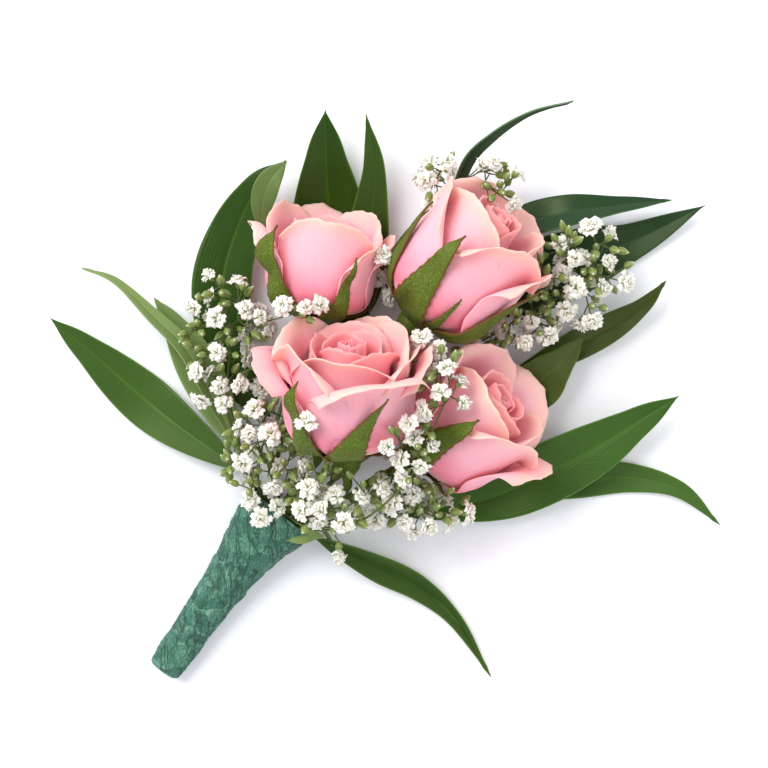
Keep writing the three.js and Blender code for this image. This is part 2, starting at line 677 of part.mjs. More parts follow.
const ROSES = [
  {
    name: "rose_1",
    base: vector(-15.0, 16.7, 11.9),
    axis: vector(0.13, 0.93, 0.22),
    heart: 0.62,
    inner: whorl({
      count: 5, start: 70, belly: [2.0, 7.2], length: [20, 23], neck: [-6, -2],
      rim: [-14, 6], halfWidth: [4.5, 10], corner: [0, 20], seed: 5,
    }),
    outer: [
      petal(2, 10.4, 25, 13, 0, 16, 22, { phase: 1, tip: 0 }),
      petal(130, 9.9, 24.5, 12, 0, 14, 30, { phase: 2 }),
      petal(240, 11.0, 24.5, 12, 0, 15, 30),
      petal(62, 11.2, 19.5, 8, 2, 30, 25),
      petal(190, 11.7, 24, 11, 4, 40, 45, { late: true }),
      petal(276, 11.9, 23, 9, 6, 95, 25),
      petal(100, 11.4, 21, 8, 6, 45, 25, { late: true }),
    ],
    sepals: [
      sepal(304, 128, 3.2, 0.6, -14),
      sepal(24, 114, 2.6, 0.8, 6),
      sepal(104, 95, 3.0, 0.5),
      sepal(180, 48, 2.8, 0),
      sepal(236, 60, 2.8, 0),
    ],
    lane: { from: 0.12, cut: [-1.2, -1.2], mouth: [-3.9, -0.9] },
    route: vectors([-23.5, -12, 6.5], [-18.5, 2, 8.8]),
  },
  {
    name: "rose_2",
    base: vector(-8.2, -12.0, 21.6),
    axis: vector(0.02, 0.91, 0.41),
    heart: 0.62,
    inner: whorl({
      count: 6, start: 20, belly: [2.0, 9.0], length: [25.5, 28], neck: [-6, -2],
      rim: [-14, 20], halfWidth: [5, 12], corner: [0, 35], seed: 3,
    }),
    outer: [
      petal(350, 10.2, 29.5, 15, 0, 46, 25, { phase: 1, spiral: 0.6, tip: 0 }),
      petal(120, 10.9, 28.5, 14, -1, 22, 35, { phase: 2, spiral: 0.6 }),
      petal(235, 11.6, 29, 14, 2, 30, 40, { spiral: 0.6, late: true }),
      petal(310, 12.2, 30, 11.5, 3, 40, 35, { phase: 0.4, spiral: 0.6, tip: 1.8 }),
      petal(75, 12.0, 27.5, 12.5, 2, 35, 30, { phase: 2.2, spiral: 0.6, late: true }),
      petal(205, 12.0, 25, 14, 1, 10, 20, { phase: 1.2, spiral: 0.6 }),
      petal(26, 13.2, 28, 16, 5, 92, 20, { phase: 5.2, spiral: 0.6, tip: 0 }),
      petal(272, 13.6, 28.5, 12.5, 12, 100, 10, { phase: 4.2, spiral: 0.4 }),
      petal(150, 12.9, 27.5, 13, 1, 18, 25, { phase: 4.2, spiral: 0.4, late: true }),
      petal(90, 13.5, 27, 11, 6, 50, 20, { phase: 4.2, spiral: 0.4, late: true }),
    ],
    sepals: [
      sepal(322, 126, 3.2, 0.6, -6),
      sepal(340, 66, 1.4, 0.8),
      sepal(350, 118, 5.0, 0.8, 38),
      sepal(62, 84, 1.6, 0.4, 6),
      sepal(172, 70, 3.2, 0.2),
      sepal(240, 80, 3.2, 0.3),
    ],
    lane: { from: 0.12, cut: [-1.2, 1.2], mouth: [0.2, 2.2] },
    route: vectors([-17, -25.8, 10.2], [-11, -23.2, 11.8]),
  },
  {
    name: "rose_3",
    base: vector(7.2, 16.6, 13.2),
    axis: vector(0.6, 0.71, 0.33),
    heart: 0.62,
    inner: whorl({
      count: 5, start: 10, belly: [2.2, 7.6], length: [30, 33], neck: [-13, -11],
      rim: [-14, -4], halfWidth: [4.5, 11], corner: [0, 15], seed: 7,
    }),
    outer: [
      petal(330, 10.8, 33, 15, -8, 6, 40, { phase: 1, tip: 1 }),
      petal(100, 11.3, 33, 13, -8, 3, 38, { phase: 2 }),
      petal(215, 11.8, 33, 14.5, -8, 5, 45, { late: true }),
      petal(40, 12.9, 31.5, 13.5, -5, 20, 50),
      petal(160, 13.3, 32, 13.5, -4, 18, 45, { late: true }),
      petal(280, 12.6, 31, 13.5, -5, 15, 35),
      petal(80, 14.0, 29, 11, 0, 32, 35, { late: true }),
    ],
    sepals: [
      sepal(302, 134, 3.2, 0.4, -12),
      sepal(346, 140, 5.2, 0.6),
      sepal(20, 104, 1.4, 0.8),
      sepal(46, 128, 4.2, 0.3, 24),
      sepal(130, 60, 3.6, 0),
      sepal(205, 80, 4.0, 0.3),
    ],
    lane: { from: 0.12, cut: [1.2, -1.2], mouth: [0, -1.7] },
    route: vectors([-12, -10, 5.6], [-3.5, 2, 6.8]),
  },
  {
    name: "rose_4",
    base: vector(7.7, -13.4, 10.5),
    axis: vector(0.76, 0.5, 0.42),
    heart: 0.62,
    inner: whorl({
      count: 5, start: 140, belly: [2.0, 7.6], length: [24.5, 28], neck: [-9, -7],
      rim: [-14, 6], halfWidth: [4.5, 11], corner: [0, 20], seed: 9,
    }),
    outer: [
      petal(350, 10.2, 28, 15, -5, 12, 20, { phase: 1, tip: 0 }),
      petal(110, 10.3, 28, 12, -6, 8, 34, { phase: 2 }),
      petal(225, 11.6, 28.5, 13.5, -4, 15, 45, { late: true }),
      petal(50, 12.2, 28.5, 12.5, 0, 28, 45, { late: true }),
      petal(170, 12.5, 29, 13.5, 0, 36, 30, { late: true }),
      petal(285, 11.6, 25, 9.5, 1, 30, 30),
      petal(95, 13.0, 26.5, 10, 14, 60, 15),
    ],
    sepals: [
      sepal(354, 133, 5.6, 0.8, 8),
      sepal(284, 80, 3.0, 0.2),
      sepal(62, 60, 3.0, 0.4),
      sepal(128, 60, 3.2, 0),
      sepal(205, 48, 3.0, 0),
    ],
    lane: { from: 0.12, cut: [1.2, 1.2], mouth: [3.6, -0.4] },
    route: vectors([-12, -26.2, 7.2], [-4, -20.5, 7.2]),
  },
];

const SPRIGS = [
  {
    name: "leaf_sprig_1",
    lane: { from: 0.74, cut: [-4.6, -1.6], mouth: [-5.5, -2.4] },
    route: vectors([-30.6, -18.5, 4.6], [-32, -13, 6.5]),
    leaves: [
      leaf(
        [
          [-31, -17.8, 4.8], [-45.1, -8.3, 1.8], [-55, -0.4, 0.15],
          [-64.8, 8.3, 1.0], [-73.4, 15.7, 3.5],
        ],
        5.6,
      ),
      leaf(
        [
          [-32, -13.4, 6.4], [-37.6, -2, 8.5], [-43.5, 8.7, 9.5],
          [-51.1, 16.3, 9], [-58.8, 23.5, 8], [-66.1, 26.5, 7],
        ],
        3.4, 10, 60,
      ),
      leaf(
        [[-31.8, -13.6, 6.2], [-36.8, -3.3, 4.6], [-41.7, 6.1, 4.2], [-46, 13.5, 4.6], [-50.5, 20.1, 6]],
        3.6, 0, 10,
      ),
    ],
  },
  {
    name: "leaf_sprig_2",
    lane: { from: 0.74, cut: [-2.9, -3.1], mouth: [-3.6, -4.2] },
    route: vectors([-24.5, -9, 2.6], [-19.5, 4, 2.4], [-13.5, 13, 2.4]),
    leaves: [
      leaf(
        [
          [-24.6, -9.4, 2.6], [-33.6, 6, 2.4], [-35.8, 21.9, 2.6],
          [-32.7, 34.5, 4.4], [-27.8, 43.9, 8], [-21.6, 49.5, 11],
        ],
        6.6, 0, -25,
      ),
      leaf(
        [[-14, 12.4, 2.4], [-13, 26.3, 0.9], [-12.7, 38.3, 0.2], [-13.1, 50.2, 4], [-13.2, 60.8, 8]],
        7.6,
      ),
      leaf(
        [
          [-13.7, 12.8, 2.3], [-6.8, 18.5, 1.6], [-4.4, 28, 1.8],
          [-3.2, 38.1, 3], [-2.4, 48.9, 6], [-4.3, 59.6, 9],
        ],
        4.2, 0, -20,
      ),
    ],
  },
  {
    name: "leaf_sprig_3",
    lane: { from: 0.74, cut: [-0.8, -3.6], mouth: [-0.9, -4.7] },
    route: vectors([-8, -8, 2.2], [4, 8, 1.8], [13, 20, 1.4], [17, 27.5, 1.6]),
    leaves: [
      leaf(
        [
          [16.4, 26.6, 1.5], [14.6, 38, 4.4], [16.8, 48.9, 9],
          [22.9, 55.3, 11], [31, 59.9, 12.5], [40.2, 62.1, 14],
        ],
        3.2, 30, 74,
      ),
      leaf(
        [[16.6, 27, 1.5], [28, 35.4, 4.4], [38.8, 38.4, 8], [49.7, 39.9, 7.5], [62, 41.3, 7]],
        4.2, -20, -40,
      ),
      leaf(
        [
          [12.2, 19, 1.4], [25, 21.5, 1.2], [34.8, 25.4, 1.0],
          [44.7, 29.2, 0.2], [55.6, 33.3, 0.5], [69.8, 40.4, 4],
        ],
        6.4,
      ),
    ],
  },
  {
    name: "leaf_sprig_4",
    lane: { from: 0.74, cut: [1.5, -3.5], mouth: [1.8, -4.6] },
    route: vectors([-4, -14.5, 1.8], [12, -4.5, 1.2], [24, 0.4, 1.6]),
    leaves: [
      leaf(
        [
          [22, -0.3, 1.5], [35.3, 6.5, 1.8], [43.4, 10.7, 2.2],
          [50.6, 14.6, 3], [56.4, 18.7, 5], [60.8, 23.7, 8],
        ],
        4.6,
      ),
      leaf([[22.4, -0.2, 1.6], [31.1, 0.2, 4.2], [36.5, 4.8, 7], [42.8, 11.3, 8]], 5.4, 0, 10),
    ],
  },
  {
    name: "leaf_sprig_5",
    lane: { from: 0.74, cut: [3.4, -2.8], mouth: [4.3, -3.6] },
    route: vectors([-8, -28.8, 2.4], [5, -27.2, 1.8]),
    leaves: [
      leaf(
        [
          [3.4, -27.4, 1.9], [21.6, -23.9, 2.4], [33.6, -18.8, 4.2],
          [45.6, -12.6, 5], [55.3, -6.5, 6], [63.6, -1.3, 8],
        ],
        6.6, 0, 8,
      ),
      leaf(
        [
          [3.8, -27.4, 1.8], [31.6, -21.8, 1.0], [42.5, -20, 0.3],
          [53.5, -19.3, 0.15], [64.4, -21.9, 1.6], [73.1, -29.5, 3],
        ],
        4.6,
      ),
    ],
  },
  {
    name: "leaf_sprig_6",
    lane: { from: 0.74, cut: [4.9, -1.1], mouth: [5.2, -1.9] },
    route: vectors([-16.8, -28.6, 4.8], [-13.2, -31.2, 4.6], [-11.6, -34.4, 3.4]),
    leaves: [
      leaf(
        [
          [-11.9, -33.8, 3.6], [-2.4, -38.3, 2.0], [7.4, -43.3, 0.6],
          [15.5, -50.8, 0.15], [22.9, -62.7, 2.4],
        ],
        4.4, 20, 0,
      ),
    ],
  },
];

function cluster(centre, spread, florets, buds) {
  return { centre: vector(...centre), spread: vector(...spread), florets, buds };
}

const SPRAYS = [
  {
    name: "gypsophila_spray_1",
    seed: 111,
    lane: { from: 0.74, cut: [-4.8, 0.8], mouth: [-6.4, 1.2] },
    route: vectors([-31.5, -12, 11], [-34, 0, 13], [-33, 14, 14]),
    clusters: [cluster([-37, 4, 14], [6, 8, 4], 6, 3), cluster([-34, 17, 13], [7, 9, 5], 7, 3)],
  },
  {
    name: "gypsophila_spray_2",
    seed: 202,
    lane: { from: 0.74, cut: [-3.4, 2.2], mouth: [-4.6, 3.1] },
    route: vectors([-27.5, -19, 13], [-26.5, -12, 16]),
    clusters: [cluster([-27, -10, 17], [7, 8, 5], 7, 4), cluster([-26, -23, 17], [7, 6, 4], 6, 3)],
  },
  {
    name: "gypsophila_spray_3",
    seed: 303,
    lane: { from: 0.74, cut: [-1.6, 3.6], mouth: [-2.2, 4.8] },
    route: vectors([-20, -23, 14], [-15, -25, 18.5], [-9, -25, 22]),
    clusters: [cluster([-12, -25, 23], [9, 6, 5], 9, 4)],
  },
  {
    name: "gypsophila_spray_4",
    seed: 404,
    lane: { from: 0.74, cut: [4.0, 2.0], mouth: [5.2, 2.8] },
    route: vectors([-10, -29.4, 12], [2, -26, 14], [9, -22, 16]),
    clusters: [cluster([6, -24, 16], [11, 7, 6], 12, 5)],
  },
  {
    name: "gypsophila_spray_5",
    seed: 505,
    lane: { from: 0.74, cut: [-1.7, -1.9], mouth: [-2.0, -2.6] },
    route: vectors([-14.5, -8, 4.8], [-6.5, 8, 4.8], [-1.5, 24, 5.2], [4, 34, 6.8], [14, 43, 12]),
    clusters: [cluster([15, 46, 16], [10, 6, 5], 7, 3), cluster([0, 25.5, 8.5], [2, 5, 2], 2, 0)],
  },
  {
    name: "gypsophila_spray_6",
    seed: 606,
    lane: { from: 0.74, cut: [2.2, -2.2], mouth: [2.0, -2.7] },
    route: vectors([-12, -18, 4.4], [0, -7, 4.4], [15, 7, 4.8], [28, 14.5, 8], [37, 21, 11]),
    clusters: [cluster([40, 25, 13], [9, 9, 5], 12, 6), cluster([28, 14, 12], [5, 4, 4], 3, 1)],
  },
  {
    name: "gypsophila_spray_7",
    seed: 707,
    lane: { from: 0.74, cut: [0.6, 3.4], mouth: [0.9, 4.2] },
    route: vectors([-15, -30, 16], [-5, -27.5, 22.5], [4, -19.5, 28.5], [8, -12, 32.5], [12, -3, 34]),
    clusters: [cluster([6, -14, 32], [5, 6, 4], 5, 3), cluster([14, 2, 33], [4, 6, 3], 3, 2)],
  },
];

const group = new THREE.Group();
group.position.copy(FRAME_SHIFT);

group.add(meshOf("tape_wrap", wrapSolid(), TAPE_TEAL, 0.75));

for (const rose of ROSES) {
  const place = bloomPlacer(rose);
  for (const shape of rose.outer) {
    block(rose.name, placed(petalGrid(shape, 8, 10), place).flat(), 1.0);
  }
  const reaches = petalReaches(rose);
  for (const sepal of rose.sepals) {
    block(rose.name, placed(sepalGrid(sepal, reaches, 2, 8), place).flat(), 1.0);
  }
  const stemRoute = [...lane(rose.lane).slice(3), ...rose.route, place(0, 0, -HIP_LENGTH - 2.5)];
  block(rose.name, along(smoothPath([...stemRoute, place(0, 0, -HIP_LENGTH)]), 24), 1.4);
  block(rose.name, [-6, -4, -2].map((height) => place(0, 0, height)), 3.4);
  group.add(meshOf(rose.name + "_petals", bloomSolid(rose), PINK, 0.55));
  group.add(meshOf(rose.name + "_calyx_and_stem", calyxSolid(rose), SEPAL_GREEN, 0.6));
}

for (const sprig of SPRIGS) {
  const stemRoute = [...lane(sprig.lane).slice(3), ...sprig.route];
  block(sprig.name, along(smoothPath(stemRoute), 20), 0.9);
  for (const blade of sprig.leaves) {
    block(sprig.name, leafGrid(blade, 4, 16).flat(), 1.1);
  }
  group.add(meshOf(sprig.name, sprigSolid(sprig), LEAF_GREEN, 0.4));
}

for (const spray of SPRAYS) {
  spray.stemPoints = along(smoothPath([...lane(spray.lane), ...spray.route]), 14);
  block(spray.name, spray.stemPoints.slice(5), 0.7);
}
for (const spray of SPRAYS) {
  const heads = growHeads(spray);
  for (const head of heads) {
    block(spray.name, [head.spot], head.radius);
    const twig = Array.from({ length: 7 }, (_, i) => head.joint.clone().lerp(head.neck, i / 6));
    block(spray.name, twig, TWIG_RADIUS);
  }
  group.add(meshOf(spray.name, spraySolid(spray, heads), SPRAY_WHITE, 0.8));
}

export default group;
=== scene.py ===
"""Looks of a boutonniere: pink spray roses, ruscus leaves, gypsophila and a handle in floral tape.

Lengths are in millimetres here and become metres when a mesh is made. The part lies on the plane
z = 0 with its stem end towards -X and -Y, and the camera looks straight down on it.
"""

import logging
import math
from dataclasses import dataclass, field, replace
from enum import Enum
from functools import partial
from typing import Any, Callable, ClassVar, Iterable, Sequence

import bpy
import numpy as np
from bpy.types import Material, Object
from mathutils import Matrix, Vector


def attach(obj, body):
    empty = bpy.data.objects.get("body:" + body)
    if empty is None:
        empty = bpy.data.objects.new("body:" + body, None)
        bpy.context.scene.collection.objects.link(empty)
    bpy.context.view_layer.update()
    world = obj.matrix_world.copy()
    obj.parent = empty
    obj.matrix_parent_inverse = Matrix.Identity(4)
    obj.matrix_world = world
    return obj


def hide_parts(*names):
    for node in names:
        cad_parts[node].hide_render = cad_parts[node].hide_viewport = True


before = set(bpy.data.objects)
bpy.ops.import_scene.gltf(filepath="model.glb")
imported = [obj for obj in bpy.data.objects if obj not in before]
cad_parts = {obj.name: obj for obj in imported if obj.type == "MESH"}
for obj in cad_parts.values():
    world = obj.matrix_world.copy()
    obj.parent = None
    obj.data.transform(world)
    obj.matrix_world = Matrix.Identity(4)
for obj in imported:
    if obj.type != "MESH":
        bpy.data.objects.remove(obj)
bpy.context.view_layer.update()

LOG = logging.getLogger("boutonniere")
MM = 0.001
FRAME_SHIFT = np.array([0.15, 0.27, 0.0])  # centres the whole outline on the origin
GOLDEN_ANGLE = 137.508

# The petal's lean turns at these shares of its length: the belly, then the neck
BELLY_AT = 0.42
NECK_AT = 0.72
PROFILE_STEPS = 100

# The hip under each bloom, along the bloom's axis from the foot of its petals
ROSE_STEM_RADIUS = 1.0
HIP_LENGTH = 7.0
HIP_RADIUS = 3.2
SEPAL_CENTRE = 9.0

LEAF_THICKNESS = 0.62
LEAF_STEM_RADIUS = 0.6
SPRAY_STEM_RADIUS = 0.45
TWIG_RADIUS = 0.32
FLORET_RADIUS = 2.5
BUD_RADIUS = 0.95
HEAD_CLEARANCE = 0.35
FILLER_CLEARANCE = -0.2  # soft petals press into each other a little
FILLER_TWIG = 3.2

Array = np.ndarray
Point = Array
Pair = tuple[float, float]
Triple = tuple[float, float, float]


# Numbers


def smooth(value: Any) -> Any:
    """Ease from 0 to 1 with level ends; value may be a number or an array."""
    share = np.clip(value, 0.0, 1.0)
    return share * share * (3 - 2 * share)


def mix(start: float, end: float, share: float) -> float:
    """Blend linearly from start to end."""
    return start + (end - start) * share


def unit(vector: Point) -> Point:
    """Scale a vector to length one."""
    return vector / np.linalg.norm(vector)


class SeededRandom:
    """A repeatable stream of numbers from 0 to 1."""

    MASK = 0xFFFFFFFF

    def __init__(self, seed: int) -> None:
        """Start the stream at a seed."""
        self.state = seed & self.MASK

    def __call__(self) -> float:
        """Return the next number."""
        self.state = (self.state + 0x6D2B79F5) & self.MASK
        mixed = (self.state ^ (self.state >> 15)) * (self.state | 1) & self.MASK
        turned = (mixed ^ (mixed >> 7)) * (mixed | 61) & self.MASK
        mixed ^= (mixed + turned) & self.MASK
        return ((mixed ^ (mixed >> 14)) & self.MASK) / 4294967296


class SmoothPath:
    """A Catmull-Rom line through points, run through evenly from point to point."""

    def __init__(self, points: Iterable[Sequence[float]]) -> None:
        """Keep the points, with one added beyond each end."""
        inner = [np.array(point, float) for point in points]
        before = 2 * inner[0] - inner[1]
        after = 2 * inner[-1] - inner[-2]
        self.points = [before, *inner, after]
        self.spans = len(inner) - 1

    def at(self, share: float) -> Point:
        """Return the point at a share of the way."""
        spot = min(max(share, 0.0), 1.0) * self.spans
        index = min(int(spot), self.spans - 1)
        w = spot - index
        a, b, c, d = self.points[index : index + 4]
        start, end = (c - a) / 2, (d - b) / 2
        squared = 3 * c - 3 * b - 2 * start - end
        cubed = 2 * b - 2 * c + start + end
        return b + start * w + squared * w * w + cubed * w**3

    def ahead(self, share: float) -> Point:
        """Return the unit direction of travel at a share of the way."""
        low, high = max(share - 1e-4, 0.0), min(share + 1e-4, 1.0)
        return unit(self.at(high) - self.at(low))

    def spread(self, count: int) -> list[Point]:
        """Return count + 1 points from end to end."""
        return [self.at(i / count) for i in range(count + 1)]


# Meshes


@dataclass
class Build:
    """Vertices, faces and per-vertex values of one piece, gathered from its parts."""

    points: list[Array] = field(default_factory=list)
    faces: list[tuple[int, ...]] = field(default_factory=list)
    values: dict[str, list[Array]] = field(default_factory=dict)
    count: int = 0

    VALUES: ClassVar[tuple[str, ...]] = ("across", "along", "tone", "under")

    def add(self, points: Array, faces: Iterable[tuple[int, ...]], **values: Any) -> None:
        """Add a part.

        Args:
            points: Its vertices, in millimetres.
            faces: Its faces, as indices into points.
            values: Across, along, tone or under, one number or one per vertex.
        """
        self.faces.extend(tuple(i + self.count for i in face) for face in faces)
        self.points.append(np.asarray(points, float))
        for name in self.VALUES:
            given = np.broadcast_to(np.asarray(values.get(name, 0.0), float), (len(points),))
            self.values.setdefault(name, []).append(given)
        self.count += len(points)

    def mesh(self, name: str, shift: bool = True) -> bpy.types.Mesh:
        """Make the mesh, smooth-shaded, in metres.

        Args:
            name: Name of the mesh.
            shift: Whether to move it to the part's frame.

        Returns:
            The mesh.
        """
        points = np.concatenate(self.points)
        if shift:
            points = points + FRAME_SHIFT
        mesh = bpy.data.meshes.new(name)
        mesh.from_pydata((points * MM).tolist(), [], self.faces)
        mesh.polygons.foreach_set("use_smooth", [True] * len(self.faces))
        for label, parts in self.values.items():
            attribute = mesh.attributes.new(label, "FLOAT", "POINT")
            attribute.data.foreach_set("value", np.concatenate(parts).astype(np.float32))
        return mesh

    def piece(self, name: str, material: Material) -> Object:
        """Make the object with its material and link it to the scene."""
        mesh = self.mesh(name)
        mesh.materials.append(material)
        return linked(name, mesh)


def linked(name: str, data: bpy.types.ID) -> Object:
    """Make an object of a mesh, light or camera and link it to the scene."""
    made = bpy.data.objects.new(name, data)
    bpy.context.scene.collection.objects.link(made)
    return made


def grid_normals(grid: Array) -> Array:
    """Return the unit normals of a grid of points."""
    normals = np.cross(np.gradient(grid, axis=0), np.gradient(grid, axis=1))
    length = np.linalg.norm(normals, axis=-1, keepdims=True)
    return normals / np.maximum(length, 1e-9)


def add_sheet(build: Build, grid: Array, thickness: Any, tone: float = 0.0, relief: Any = 0.0) -> None:
    """Add a thin closed blade on a grid, its border rounded.

    Args:
        build: The piece that takes the blade.
        grid: Points as columns by rows by 3.
        thickness: One number, or one per grid point.
        tone: The blade's own tone value.
        relief: How far the surface is raised on both faces, one number or one per grid point.
    """
    columns, rows = grid.shape[:2]
    normals = grid_normals(grid)
    half = np.broadcast_to(np.asarray(thickness, float) / 2, (columns, rows))[..., None]
    raised = np.broadcast_to(np.asarray(relief, float), (columns, rows))[..., None]
    front = (grid + normals * (raised + half)).reshape(-1, 3)
    back = (grid + normals * (raised - half)).reshape(-1, 3)
    across, along = np.meshgrid(np.linspace(-1, 1, columns), np.linspace(0, 1, rows), indexing="ij")
    total = columns * rows
    index = np.arange(total).reshape(columns, rows)
    a, b = index[:-1, :-1].ravel(), index[1:, :-1].ravel()
    c, d = index[1:, 1:].ravel(), index[:-1, 1:].ravel()
    faces = list(zip(a, b, c, d)) + list(zip(a + total, d + total, c + total, b + total))
    ring = np.array([*index[:-1, 0], *index[-1, :-1], *index[:0:-1, -1], *index[0, :0:-1]])
    i, j = ring // rows, ring % rows
    inner_j = np.clip(j, 1, rows - 2)
    inner_i = np.where(inner_j == j, np.clip(i, 1, columns - 2), i)
    out = grid[i, j] - grid[inner_i, inner_j]
    length = np.maximum(np.linalg.norm(out, axis=1, keepdims=True), 1e-9)
    push = 0.5 * np.minimum(half[i, j], length)
    rim = (front[ring] + back[ring]) / 2 + out / length * push
    after, low = np.roll(ring, -1), 2 * total + np.arange(len(ring))
    high = np.roll(low, -1)
    faces += [*zip(ring, low, high, after), *zip(low, ring + total, after + total, high)]
    across, along = across.ravel(), along.ravel()
    build.add(
        np.concatenate([front, back, rim]),
        faces,
        across=np.concatenate([across, across, across[ring]]),
        along=np.concatenate([along, along, along[ring]]),
        under=np.repeat([0, 1, 0.5], [total, total, len(ring)]),
        tone=tone,
    )


def add_rings(build: Build, rings: Sequence[Array], along: Any = None, tone: Any = 0.0) -> None:
    """Add a closed body that runs through rings of points.

    Args:
        build: The piece that takes the body.
        rings: The rings, all with as many points.
        along: How far along each ring is, if not evenly from 0 to 1.
        tone: The body's own tone value, one number or one per point.
    """
    count, sides = len(rings), len(rings[0])
    here = np.arange((count - 1) * sides)
    beside = here + np.where(here % sides == sides - 1, 1 - sides, 1)
    faces = list(zip(here, beside, beside + sides, here + sides))
    faces.append(tuple(reversed(range(sides))))
    faces.append(tuple(range((count - 1) * sides, count * sides)))
    along = np.linspace(0, 1, count) if along is None else along
    build.add(
        np.concatenate(rings),
        faces,
        across=np.tile(np.linspace(-1, 1, sides), count),
        along=np.repeat(along, sides),
        tone=tone,
    )


def add_tube(
    build: Build,
    points: Sequence[Point],
    radius_at: Callable[[float], float],
    sides: int = 14,
    tone: float = 0.0,
) -> None:
    """Add a closed tube.

    Args:
        build: The piece that takes the tube.
        points: The middle line.
        radius_at: Gives the radius at a share of the way.
        sides: Points round each ring.
        tone: The tube's own tone value.
    """
    turns = 2 * np.pi * np.arange(sides) / sides
    rings: list[Array] = []
    across: Point | None = None
    for i, point in enumerate(points):
        ahead = unit(points[min(i + 1, len(points) - 1)] - points[max(i - 1, 0)])
        if across is None:
            aside = np.array([0.0, 0, 1]) if abs(ahead[2]) < 0.9 else np.array([1.0, 0, 0])
            across = unit(np.cross(aside, ahead))
        across = unit(across - ahead * float(across @ ahead))
        other = np.cross(ahead, across)
        radius = radius_at(i / (len(points) - 1))
        rings.append(point + radius * (np.cos(turns)[:, None] * across + np.sin(turns)[:, None] * other))
    add_rings(build, rings, tone=tone)


def turned_rings(profile: Iterable[Pair], sides: int, ribs: float = 0.0) -> list[Array]:
    """Return the rings of a body of revolution.

    Args:
        profile: Pairs of radius and height, from the bottom up.
        sides: Points round each ring.
        ribs: How far five ribs stand out, as a share of the radius.
    """
    turns = 2 * np.pi * np.arange(sides) / sides
    reach = 1 + ribs * np.cos(5 * turns)
    circle = np.stack([reach * np.cos(turns), reach * np.sin(turns), 0 * turns], axis=-1)
    return [radius * circle + np.array([0, 0, height]) for radius, height in profile]


# Finishes

# Node settings that come back
BLEND = {"data_type": "RGBA"}
TIMES_PLUS = {"operation": "MULTIPLY_ADD"}
CLAMPED = TIMES_PLUS | {"use_clamp": True}
SOFT = {"interpolation_type": "SMOOTHSTEP"}

Socket = bpy.types.NodeSocket
NodeMaker = Callable[..., Socket]


def srgb(code: str) -> tuple[float, float, float, float]:
    """Turn an sRGB hex colour such as "#f7b7c0" into linear red, green, blue and alpha."""
    parts = [int(code[i : i + 2], 16) / 255 for i in (1, 3, 5)]
    linear = [p / 12.92 if p <= 0.04045 else ((p + 0.055) / 1.055) ** 2.4 for p in parts]
    return (linear[0], linear[1], linear[2], 1.0)


def add_node(
    tree: bpy.types.NodeTree,
    kind: str,
    settings: dict[str, Any] | None = None,
    inputs: dict[str | int, Any] | None = None,
    output: str = "",
    stops: Sequence[tuple[float, str]] = (),
) -> Socket:
    """Add a node with its settings and links.

    Args:
        tree: The node tree.
        kind: The node's type name.
        settings: Properties of the node.
        inputs: Sockets to link, or values, by input name or index.
        output: The output to return, if not the first in use.
        stops: Positions and colours of a colour ramp.

    Returns:
        One output of the node.
    """
    made = tree.nodes.new(kind)
    for name, value in (settings or {}).items():
        setattr(made, name, value)
    for key, value in (inputs or {}).items():
        for given in value if isinstance(value, list) else [value]:
            if isinstance(given, Socket):
                tree.links.new(given, made.inputs[key])
            else:
                made.inputs[key].default_value = given
    for i, (spot, code) in enumerate(stops):
        elements = made.color_ramp.elements
        element = elements[i] if i < 2 else elements.new(spot)
        element.position = spot
        element.color = srgb(code)
    return made.outputs[output] if output else next(o for o in made.outputs if o.enabled)


@dataclass(frozen=True)
class Finish:
    """What every finish shares: a principled shader with a colour and a fine relief."""

    name: str

    SHADER: ClassVar[dict[str, Any]] = {}
    RELIEF: ClassVar[Pair] = (0.0, 0.0)  # strength, and metres at full height

    def paint(self, node: NodeMaker, place: Socket) -> tuple[Socket, Socket]:
        """Add the nodes that give the colour and the height of the relief.

        Args:
            node: Adds a node.
            place: Where a point lies on the object, in metres.
        """
        raise NotImplementedError

    def start(self) -> tuple[Material, bpy.types.Node]:
        """Return the material and its shader with the uniform values set."""
        material = bpy.data.materials.new(self.name)
        material.use_nodes = True
        shader = material.node_tree.nodes["Principled BSDF"]
        for key, value in self.SHADER.items():
            shader.inputs[key].default_value = value
        return material, shader

    def make(self) -> Material:
        """Make the material."""
        material, shader = self.start()
        tree = material.node_tree
        place = add_node(tree, "ShaderNodeTexCoord", output="Object")
        colour, height = self.paint(partial(add_node, tree), place)
        strength, distance = self.RELIEF
        inputs = {"Height": height, "Strength": strength, "Distance": distance}
        bump = add_node(tree, "ShaderNodeBump", inputs=inputs)
        tree.links.new(colour, shader.inputs["Base Color"])
        tree.links.new(bump, shader.inputs["Normal"])
        return material


